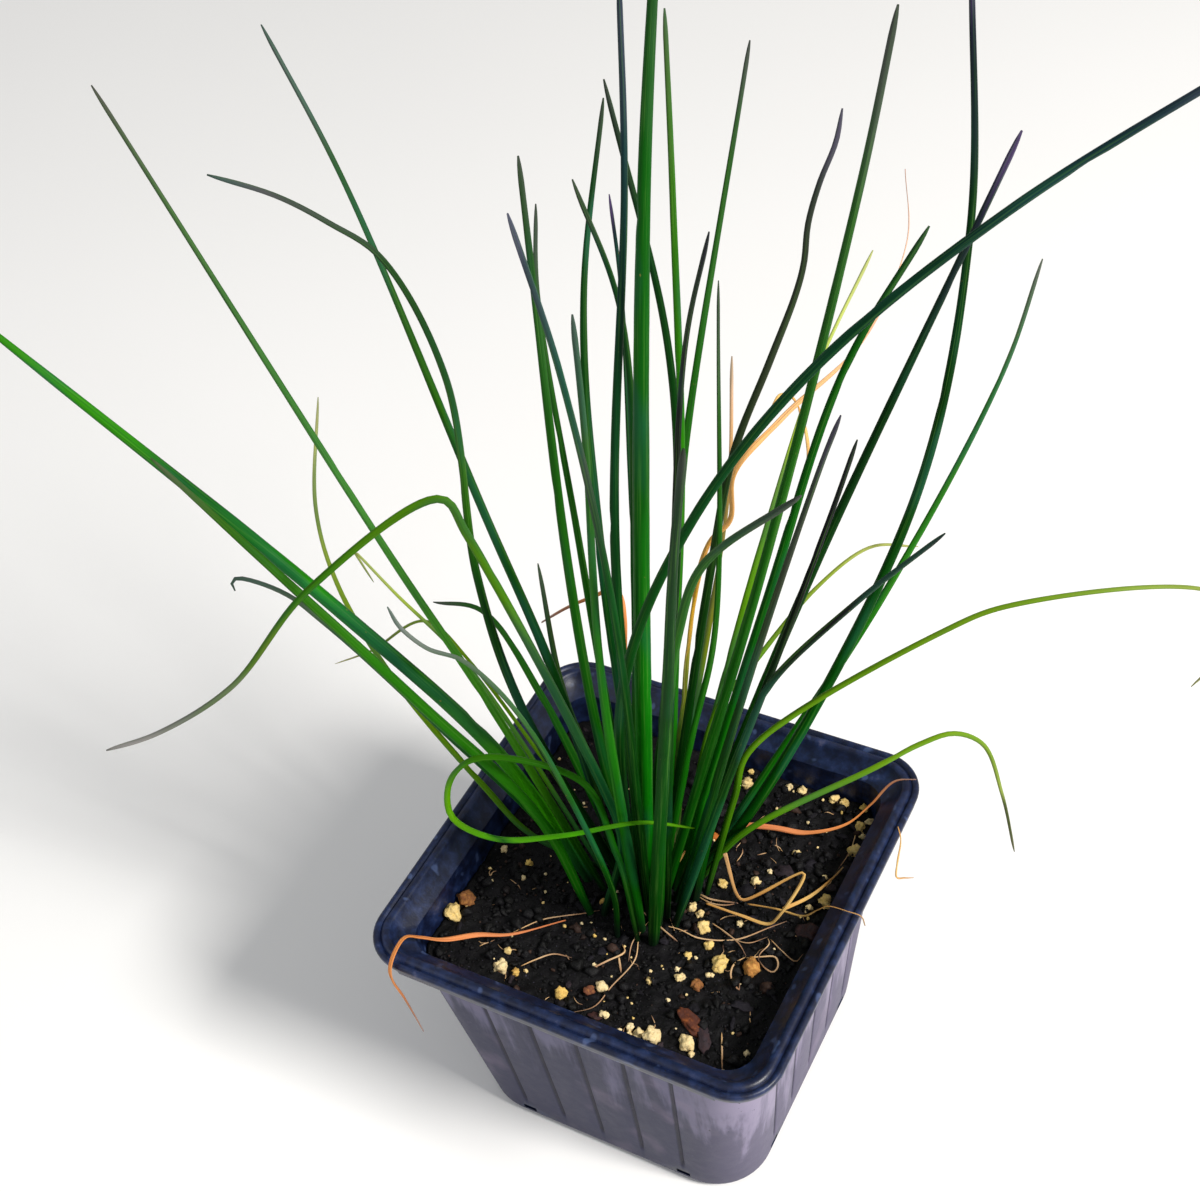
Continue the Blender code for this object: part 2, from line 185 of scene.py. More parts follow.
def finishMaterial(material, colour, roughness, gloss, relief=None):
    surface = material.node_tree.nodes["Principled BSDF"]
    settings = {"Base Color": colour, "Roughness": roughness, "Specular IOR Level": gloss, "Normal": relief}
    for key, given in settings.items():
        if isinstance(given, Value):
            given.tree.links.new(given.socket, surface.inputs[key])
        elif given is not None:
            surface.inputs[key].default_value = given
    return material


def rampStops(stops, sheen=0.0):        # a palette's stops as a colour ramp takes them
    return [(at, tone(*colour, sheen=sheen)) for at, *colour in stops]


def bump(height, distance):
    return height.node("Bump", None, {"Height": height, "Distance": distance * mm, "Strength": 1.0})


# Meshes

def addPiece(name, points, faces, material, values=None, replaced=()):
    mesh = bpy.data.meshes.new(name)
    mesh.from_pydata([tuple(point) for point in points], [], faces)
    mesh.transform(Matrix.Scale(mm, 4))
    for key, given in (values or {}).items():
        kind = "FLOAT_VECTOR" if len(np.shape(given)) == 2 else "FLOAT"
        layer = mesh.attributes.new(key, kind, "POINT")
        field = "vector" if kind == "FLOAT_VECTOR" else "value"
        layer.data.foreach_set(field, np.asarray(given, np.float32).ravel())
    mesh.materials.append(material)
    mesh.shade_smooth()
    piece = bpy.data.objects.new(name, mesh)
    bpy.context.scene.collection.objects.link(piece)
    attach(piece, "root")
    if replaced:
        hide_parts(*replaced)
    return piece


def tubeFaces(rings, sides, start=0):
    faces = []
    for ring in range(rings - 1):
        low = start + ring * sides
        for side in range(sides):
            after = (side + 1) % sides
            faces.append((low + side, low + after, low + sides + after, low + sides + side))
    faces.append(tuple(start + side for side in reversed(range(sides))))
    faces.append(tuple(start + (rings - 1) * sides + side for side in range(sides)))
    return faces


def smoothRoute(points, steps=24):      # the same curve as the solids follow
    points = [Vector(point) for point in points]
    ends = [points[0] * 2 - points[1], *points, points[-1] * 2 - points[-2]]
    knots = [0.0]
    for a, b in zip(ends, ends[1:]):
        knots.append(knots[-1] + (b - a).length ** 0.5)
    curve = []
    for i in range(1, len(ends) - 2):
        before, here, there, after = ends[i - 1:i + 3]
        t0, t1, t2, t3 = knots[i - 1:i + 3]
        leave = (here - before) / (t1 - t0) - (there - before) / (t2 - t0) + (there - here) / (t2 - t1)
        arrive = (there - here) / (t2 - t1) - (after - here) / (t3 - t1) + (after - there) / (t3 - t2)
        span = t2 - t1
        for step in range(steps):
            u = step / steps
            curve.append(
                here * (2 * u ** 3 - 3 * u ** 2 + 1) + leave * span * (u ** 3 - 2 * u ** 2 + u)
                + there * (3 * u ** 2 - 2 * u ** 3) + arrive * span * (u ** 3 - u ** 2))
    curve.append(points[-1])
    return np.array([tuple(point) for point in curve])


def evenRoute(curve, spacing):      # the curve's points again, evenly apart, and each one's distance
    lengths = np.concatenate([[0], np.cumsum(np.linalg.norm(np.diff(curve, axis=0), axis=1))])
    count = max(8, int(lengths[-1] / spacing) + 1)
    goals = np.linspace(0, lengths[-1], count)
    return np.column_stack([np.interp(goals, lengths, curve[:, axis]) for axis in range(3)]), goals


def frames(line):       # two directions across the line at each point, carried along without twist
    ways = np.gradient(line, axis=0)
    ways /= np.linalg.norm(ways, axis=1)[:, None]
    across = Vector(ways[0]).orthogonal().normalized()
    firsts, seconds = [], []
    for way in ways:
        way = Vector(way)
        across = (across - way * across.dot(way)).normalized()
        firsts.append(across.copy())
        seconds.append(way.cross(across))
    return np.array(firsts), np.array(seconds)


def ringAngles(sides):
    return np.arange(sides) * 2 * pi / sides


def tubePoints(line, along, angles, half, section):
    # section gives each ring's distances across the line, at its angles
    # straight holds where each point is on the same tube laid straight, for the patterns
    first, second = frames(line)
    points, straight = [], []
    for ring, length in enumerate(along):
        x, y = section(ring)
        points += list(line[ring] + np.outer(x, first[ring]) + np.outer(y, second[ring]))
        straight += [(half * cos(angle), half * sin(angle), length) for angle in angles]
    return points, straight


def eased(part):        # from 0 to 1 with a soft start and end
    return part * part * (3 - 2 * part)


# The pot: one thin plastic moulding

potSet = {
    "baseSide": 67.0, "rimCorner": 10.0, "baseCorner": 12.5, "overhang": 6.0, "wall": 1.1, "floor": 1.3,
    "skirtBottom": 61.6, "cornerLift": 0.7, "footHeight": 2.2, "footInset": 1.6,
    "flutes": 5, "flutePitch": 11.0, "fluteWidth": 1.7, "fluteDepth": 0.6, "fluteFoot": 6.5,
    "fluteFade": 2.5, "cornerSteps": 14, "drainRadius": 3.5, "drainOffset": 16.0,
    "slotSize": (4.0, 3.2, 1.5), "slotFromCentre": 19.0, "slotHeight": 3.6,
}


def wallHalf(z):        # half the pot's width at a height
    foot = potSet["baseSide"] / 2
    return foot + (rimHalf - potSet["overhang"] - foot) * z / potSet["skirtBottom"]


def wallCorner(z):      # the radius of its corners there
    top = potSet["rimCorner"] - potSet["overhang"] / 2
    return potSet["baseCorner"] + (top - potSet["baseCorner"]) * z / potSet["skirtBottom"]


def potRing(half, corner, z, narrowing, depth=0.0, lift=0.0):
    reach = half - corner
    places, depths = [-reach, -reach + 0.2], [0.0, 0.0]
    for flute in range(potSet["flutes"]):
        middle = (flute - (potSet["flutes"] - 1) / 2) * potSet["flutePitch"]
        for step in range(-4, 5):
            places.append((middle + step / 4 * potSet["fluteWidth"] / 2) * narrowing)
            depths.append(depth * (0.5 + 0.5 * cos(pi * step / 4)))
    places += [reach - 0.2, reach]
    depths += [0.0, 0.0]
    ring, grooves = [], []
    for quarter in range(4):
        turn = quarter * pi / 2
        along = Vector((-sin(turn), cos(turn), 0))
        out = Vector((cos(turn), sin(turn), 0))
        for place, sink in zip(places, depths):
            ring.append(out * (half - sink) + along * place + Vector((0, 0, z)))
            grooves.append(sink / potSet["fluteDepth"])
        centre = (out + along) * reach
        bend = [centre + out * corner + along * 0.15]
        for step in range(1, potSet["cornerSteps"]):
            angle = turn + step / potSet["cornerSteps"] * pi / 2
            bend.append(centre + Vector((cos(angle), sin(angle), 0)) * corner)
        bend.append(centre + along * corner + out * 0.15)
        ring += [point + Vector((0, 0, z + lift)) for point in bend]
        grooves += [0.0] * len(bend)
    return ring, grooves


def arc(inset, z, radius, start, end, steps):       # inset and height along an arc, angles in degrees
    angles = [radians(start + (end - start) * step / steps) for step in range(steps + 1)]
    return [(inset - radius * cos(angle), z + radius * sin(angle)) for angle in angles]


def makePot(material):
    narrow = wallHalf(potSet["skirtBottom"])
    foot, fade, deep = potSet["fluteFoot"], potSet["fluteFade"], potSet["fluteDepth"]
    skirt = potSet["skirtBottom"]
    rings = []

    def wall(z, inset=0.0, depth=0.0):
        rings.append(potRing(wallHalf(z) - inset, wallCorner(z) - inset, z, wallHalf(z) / narrow, depth))

    def lip(inset, z, lift=0.0):
        rings.append(potRing(rimHalf - inset, potSet["rimCorner"] - inset, z, 1.0, 0.0, lift))

    # up the outside
    wall(0.0, potSet["footInset"])
    wall(0.25, potSet["footInset"] - 0.45)
    wall(potSet["footHeight"] - 0.3, 0.12)
    wall(potSet["footHeight"] + 0.4)
    wall(foot)
    for step in range(1, 5):
        wall(foot + fade * step / 4, 0.0, deep * sin(step / 4 * pi / 2))
    for z in (20.0, 32.0, 44.0, 54.0, 60.0, skirt + 0.1):
        wall(z, 0.0, deep)
    outer = len(rings)
    # out under the skirt, over the rolled rim and down the inside
    lift = potSet["cornerLift"]
    lip(1.75, skirt + 0.75, lift)
    for inset, z in arc(0.9, skirt + 0.4, 0.5, 200, 330, 5):
        lip(inset, z, lift)
    lip(0.33, skirt + 0.9, lift * 0.6)
    lip(0.05, potHeight - 1.3)
    for inset, z in arc(0.75, potHeight - 1.0, 0.75, 0, 140, 8):
        lip(inset, z)
    lip(1.6, potHeight - 0.78)
    for inset, z in arc(2.75, potHeight - 1.15, 1.15, 35, 150, 9):
        lip(inset, z)
    lip(4.3, potHeight - 1.3)
    lip(5.4, potHeight - 2.4)
    for z in (skirt - 0.4, 59.5, 50.0, 20.0, potSet["floor"] + 1.0):
        wall(z, potSet["wall"])
    wall(potSet["floor"], potSet["wall"] + 0.8)
    sides = len(rings[0][0])
    points = [point for ring, grooves in rings for point in ring]
    values = {
        "groove": [groove for ring, grooves in rings for groove in grooves],
        "outside": [1.0 if i < outer else 0.0 for i in range(len(rings)) for _ in range(sides)],
    }
    pot = addPiece("pot_shell", points, tubeFaces(len(rings), sides), material, values,
                   replaced=["pot"])
    cutDrains(pot)
    pot.data.set_sharp_from_angle(angle=radians(38))


def cutDrains(pot):
    cutters = []
    for quarter in range(4):
        turn = quarter * pi / 2
        hole = Vector((potSet["drainOffset"], 0, 0))
        hole.rotate(Euler((0, 0, turn + pi / 4)))
        bpy.ops.mesh.primitive_cylinder_add(
            vertices=32, radius=potSet["drainRadius"] * mm, depth=6 * mm, location=hole * mm)
        cutters.append(bpy.context.object)
        for side in (-1, 1):
            height = potSet["slotHeight"]
            gap = Vector((wallHalf(height), side * potSet["slotFromCentre"], height))
            gap.rotate(Euler((0, 0, turn)))
            bpy.ops.mesh.primitive_cube_add(size=mm, location=gap * mm, rotation=(0, 0, turn))
            bpy.context.object.scale = potSet["slotSize"]
            cutters.append(bpy.context.object)
    for cutter in cutters:
        cut = pot.modifiers.new("drain", "BOOLEAN")
        cut.operation = "DIFFERENCE"
        cut.solver = "EXACT"
        cut.object = cutter
    bpy.context.view_layer.update()
    cutMesh = bpy.data.meshes.new_from_object(pot.evaluated_get(bpy.context.evaluated_depsgraph_get()))
    pot.modifiers.clear()
    pot.data = cutMesh
    for cutter in cutters:
        bpy.data.objects.remove(cutter)


def potMaterial():
    material, place = startMaterial("black_pot_plastic")
    height = place.axis(2)
    paintedLitSide = between(place.axis(0), 18.0, 42.0)      # painted light: the wall is lighter towards the side the key light falls on
    outside = place.layer("outside")
    groove = place.layer("groove")
    cloud = spots(place, 0.06, 3.0)
    dust = spots(place, 0.35, 5.0, 0.62)
    grain = spots(place, 3.0, 2.0)
    run = streaks(place, 0.025, 0.22, 4.0, 0.6)
    # painted shade darkens the wall towards the bottom, under ragged dust streaks; the lit side gets more of
    # the pale tone
    dustAndShade = between(height + (run - 0.5) * 100 + (cloud - 0.5) * 46 + paintedLitSide * 22, 34.0, 56.0)
    wallTone = blendColours(dustAndShade, tone(8, 9, 24), tone(33, 32, 44))
    wallTone = tint(wallTone, between(cloud, 0.55, 0.75) * 0.5, 47, 41, 51)
    # painted light: a pale tone laid over the lit side of the wall
    wallTone = tint(wallTone, paintedLitSide * (0.35 + dustAndShade * 0.45), 58, 54, 64)
    # painted shade darkens the flute grooves
    wallTone = tint(wallTone, between(groove, 0.1, 0.6) * 0.85, 7, 7, 17)
    rimTone = blendColours(between(dust, 0.38, 0.7), tone(4, 7, 17), tone(10, 16, 31))
    # pale spots on the rim: partly scuffs, partly painted highlights
    rimTone = tint(rimTone, between(spots(place, 0.28, 1.0), 0.66, 0.74) * 0.5, 30, 37, 54)
    colour = blendColours(outside, rimTone, wallTone)
    colour = tint(colour, between(dust, 0.62, 0.8) * 0.3, 48, 46, 54)
    speck = between(spots(place, 0.9, 1.0), 0.77, 0.79)
    colour = tint(colour, speck * 0.8, 9, 7, 8)
    rough = 0.30 + dust * 0.2 + outside * 0.12
    return finishMaterial(material, colour, rough, 0.4, bump(grain * 0.4 + dust, 0.05))


# The soil: a crumbly block, level where the clump grows

soilSet = {
    "gap": 0.3, "grid": 170, "rolls": 0.8, "lumps": 0.55, "crumbs": 0.35, "mound": 0.7, "moundReach": 22.0,
    "grainGap": 1.7, "cornerRadius": 5.0,
}


def soilHeight(x, y):
    place = Vector((x, y, 0))
    height = soilTop + soilSet["rolls"] * noise.noise(place / 11)
    height += soilSet["lumps"] * noise.noise(place / 3.4)
    height += soilSet["crumbs"] * noise.noise(place / 1.2)
    rise = max(0.0, 1 - place.length / soilSet["moundReach"])
    return height + soilSet["mound"] * rise


def soilEdge(gap):      # half the soil's width, less a gap from the pot's wall
    return wallHalf(soilTop) - potSet["wall"] - gap


def onSoil(x, y, lift=0.0):     # the soil's surface at a pixel of the photograph, inside the pot, mm
    place = atHeight(x, y, soilTop)
    place = atHeight(x, y, soilHeight(place.x, place.y) + lift)
    edge = soilEdge(soilSet["grainGap"])
    x, y = (max(-edge, min(edge, part)) for part in place.xy)
    return Vector((x, y, soilHeight(x, y) + lift))


def roundedSquare(u, v, half, corner):      # moves a point of the square inside its rounded corners
    x, y = u * half, v * half
    reach = half - corner
    dx, dy = abs(x) - reach, abs(y) - reach
    if dx > 0 and dy > 0:
        far = (dx * dx + dy * dy) ** 0.5
        edge = max(dx, dy)
        x = (reach + dx / far * edge) * (1 if x > 0 else -1)
        y = (reach + dy / far * edge) * (1 if y > 0 else -1)
    return x, y


def anywhere(chance, half):     # a random place on the soil
    return roundedSquare(chance.uniform(-1, 1), chance.uniform(-1, 1), half, soilSet["cornerRadius"])


def threeOf(chance, low, high, size=1.0):       # three random numbers, for a size or a turn
    return [size * chance.uniform(low, high) for _ in range(3)]


def makeSoil(material):
    count = soilSet["grid"]
    half = soilEdge(soilSet["gap"])
    corner = wallCorner(soilTop) - potSet["wall"]
    points = []
    for j in range(count + 1):
        for i in range(count + 1):
            x, y = roundedSquare(i / count * 2 - 1, j / count * 2 - 1, half, corner)
            points.append((x, y, soilHeight(x, y)))
    row = count + 1
    faces = [(j * row + i, j * row + i + 1, (j + 1) * row + i + 1, (j + 1) * row + i)
             for j in range(count) for i in range(count)]
    edge = list(range(count)) + [j * row + count for j in range(count)]
    edge += [count * row + i for i in range(count, 0, -1)] + [j * row for j in range(count, 0, -1)]
    lowZ = potSet["floor"] + soilSet["gap"]
    shrink = (wallHalf(lowZ) - potSet["wall"] - 1.4) / half
    foot = len(points)
    for place in edge:
        x, y, _ = points[place]
        points.append((x * shrink, y * shrink, lowZ))
    for i in range(len(edge)):
        after = (i + 1) % len(edge)
        faces.append((edge[i], foot + i, foot + after, edge[after]))
    faces.append(tuple(reversed([foot + i for i in range(len(edge))])))
    addPiece("soil_block", points, faces, material, replaced=["soil"])


def soilMaterial():
    material, place = startMaterial("damp_potting_soil")
    clod = spots(place, 0.5, 6.0, 0.65)
    fine = spots(place, 2.2, 4.0, 0.6)
    colour = blendColours(between(clod, 0.38, 0.66), tone(1.5, 1.5, 2.5), tone(4.5, 4, 5.5))
    colour = tint(colour, between(fine, 0.6, 0.78), 10, 8, 8.5)
    # pale bluish specks: painted glints on the damp soil
    colour = tint(colour, between(spots(place, 3.2, 1.0), 0.74, 0.78), 30, 29, 36)
    rough = 0.55 + fine * 0.2
    return finishMaterial(material, colour, rough, 0.18, bump(clod * 0.6 + fine * 0.4, 0.6))


def ball(detail):       # a unit ball's points and faces
    mesh = bmesh.new()
    bmesh.ops.create_icosphere(mesh, subdivisions=detail, radius=1.0)
    points = np.array([tuple(vert.co) for vert in mesh.verts])
    faces = [tuple(vert.index for vert in face.verts) for face in mesh.faces]
    mesh.free()
    return points, faces


def makeLumps(name, lumps, detail, material, roughness, grain):
    # lumps: place, size along three axes, turn, tone
    ballPoints, ballFaces = ball(detail)
    points, faces, tones = [], [], []
    for number, (place, size, turn, shade) in enumerate(lumps):
        start = len(points)
        spin = Euler(turn).to_matrix()
        for point in ballPoints:
            point = Vector(point)
            bend = noise.noise(point * grain + Vector((number * 7.3, 0, 0)))
            bend += 0.5 * noise.noise(point * grain * 2.6 + Vector((number * 3.1, 9, 0)))
            shaped = point * (1 + roughness * bend)
            shaped = Vector((shaped.x * size[0], shaped.y * size[1], shaped.z * size[2]))
            points.append(spin @ shaped + Vector(place))
        faces += [tuple(start + i for i in face) for face in ballFaces]
        tones += [shade] * len(ballPoints)
    addPiece(name, points, faces, material, {"tone": tones})


crumbSet = {
    "small": 2300, "smallSizes": (0.22, 0.55), "large": 620, "largeSizes": (0.5, 1.35), "seed": 5,
    "gap": 0.6, "reach": 0.97, "roughness": 0.75, "grain": 1.2,
}


def makeCrumbs(material):
    chance = random.Random(crumbSet["seed"])
    half = soilEdge(crumbSet["gap"]) * crumbSet["reach"]
    for detail, kind in enumerate(("small", "large"), 1):
        least, most = crumbSet[kind + "Sizes"]
        lumps = []
        for _ in range(crumbSet[kind]):
            x, y = anywhere(chance, half)
            size = least + (most - least) * chance.random() ** 2.2
            shape, turn = threeOf(chance, 0.6, 1.15, size), threeOf(chance, 0, 2 * pi)
            lumps.append(((x, y, soilHeight(x, y) + size * 0.25), shape, turn, chance.random()))
        makeLumps("soil_crumbs_" + kind, lumps, detail, material, crumbSet["roughness"], crumbSet["grain"])


def crumbMaterial():
    material, place = startMaterial("soil_crumb")
    shade = place.layer("tone")
    fine = spots(place, 2.6, 4.0, 0.6)
    colour = blendColours(between(shade, 0.3, 0.8), tone(1.2, 1.2, 2.2), tone(4.5, 4.2, 5.8))
    colour = tint(colour, between(shade, 0.9, 0.97), 22, 15, 12)
    colour = tint(colour, between(fine, 0.52, 0.8) * 0.5, 10, 9, 12)
    rough = 0.42 + fine * 0.3
    return finishMaterial(material, colour, rough, 0.25, bump(fine, 0.25))


# The leaves: stops along each kind, from the foot (0) to the tip (1), and the colour there,
# red, green and blue in per cent as a screen shows them

leafPalettes = {
    "fresh": ((0.0, 14, 38, 12), (0.2, 31, 60, 16), (0.6, 30, 53, 26), (0.9, 28, 38, 25),
        (1.0, 33, 33, 31)),
    "green": ((0.0, 11, 33, 8), (0.25, 17, 43, 9), (0.6, 19, 41, 16), (0.85, 22, 38, 20),
        (1.0, 33, 34, 33)),
    "deep": ((0.0, 8, 30, 6), (0.3, 11, 32, 10), (0.6, 11, 29, 11), (0.9, 16, 25, 17),
        (1.0, 25, 27, 25)),
    "blueDeep": ((0.0, 8, 28, 12), (0.4, 11, 32, 16), (0.7, 13, 27, 19), (0.88, 18, 26, 28),
        (1.0, 30, 31, 38)),
    "greyGreen": ((0.0, 8, 25, 10), (0.3, 14, 34, 15), (0.6, 22, 38, 21), (0.85, 32, 38, 32),
        (1.0, 42, 44, 43)),
    "lowDark": ((0.0, 7, 20, 10), (0.25, 10, 24, 12), (0.45, 12, 28, 10), (0.6, 20, 36, 11),
        (0.85, 21, 31, 20), (1.0, 35, 34, 36)),
    # broad: its bright stretches are painted sunlight, its dark bands painted shade
    "broad": ((0.0, 12, 36, 6), (0.12, 28, 68, 4), (0.26, 28, 60, 7), (0.38, 8, 29, 9),
        (0.55, 19, 49, 6), (0.68, 12, 34, 12), (0.8, 20, 46, 10), (1.0, 22, 46, 16)),
    "bright": ((0.0, 14, 46, 4), (0.3, 22, 50, 8), (0.6, 21, 47, 9), (0.85, 24, 42, 16),
        (1.0, 32, 38, 27)),
    "lime": ((0.0, 15, 36, 7), (0.25, 36, 55, 10), (0.6, 45, 58, 18), (0.85, 56, 62, 32),
        (1.0, 70, 70, 50)),
    "paleLime": ((0.0, 17, 40, 8), (0.3, 32, 52, 9), (0.55, 36, 54, 11), (0.75, 60, 68, 28),
        (1.0, 72, 72, 46)),
    "stout": ((0.0, 13, 42, 6), (0.3, 16, 46, 8), (0.55, 12, 37, 9), (0.85, 15, 34, 13),
        (1.0, 23, 32, 23)),
    "darkTip": ((0.0, 9, 28, 9), (0.3, 12, 30, 11), (0.5, 12, 22, 13), (0.75, 12, 15, 14),
        (1.0, 20, 20, 22)),
    "purpleTip": ((0.0, 8, 28, 8), (0.3, 14, 34, 12), (0.55, 10, 26, 13), (0.8, 15, 23, 16),
        (0.92, 19, 20, 24), (1.0, 33, 28, 41)),
    "violetTip": ((0.0, 6, 24, 6), (0.3, 9, 31, 10), (0.55, 14, 32, 17), (0.72, 25, 29, 26),
        (0.82, 17, 34, 26), (0.94, 25, 29, 32), (1.0, 41, 40, 50)),
    "greyTip": ((0.0, 9, 28, 6), (0.3, 15, 29, 11), (0.5, 16, 26, 13), (0.7, 24, 27, 21),
        (0.92, 25, 27, 25), (1.0, 33, 31, 38)),
    "olive": ((0.0, 14, 32, 12), (0.4, 20, 36, 14), (0.8, 21, 26, 17), (1.0, 36, 38, 32)),
    "dryTip": ((0.0, 11, 29, 10), (0.25, 13, 32, 6), (0.38, 34, 42, 10), (0.55, 54, 48, 14),
        (0.75, 76, 56, 30), (1.0, 86, 70, 60)),
    # loop: the dark band at 0.73 is a painted shadow
    "loop": ((0.0, 11, 32, 8), (0.12, 13, 34, 14), (0.3, 18, 42, 9), (0.5, 27, 50, 8), (0.6, 42, 68, 6),
        (0.7, 38, 70, 5), (0.73, 18, 40, 6), (0.76, 36, 68, 5), (0.88, 28, 58, 6), (1.0, 40, 62, 10)),
    "arch": ((0.0, 7, 24, 7), (0.18, 18, 40, 24), (0.35, 26, 42, 26), (0.45, 30, 48, 12),
        (0.58, 33, 52, 8), (0.7, 24, 46, 8), (0.8, 36, 46, 20), (0.9, 44, 46, 42), (1.0, 54, 53, 52)),
}

leafSet = {
    "sides": 14, "spacing": 1.5, "rootDepth": 2.4, "footReach": 30.0, "footWidth": 0.74, "taper": 0.65,
    "thread": 0.75, "threadLead": 0.15, "threadReach": 0.25, "tipLength": 4.0, "tipWidth": 0.35,
    "flat": (0.03, 0.09), "dents": 3, "dentReach": 3.5, "twistLength": 90.0, "streaks": 1.9,
    "sheen": 0.018,     # the light that the gloss adds to the colours above
}

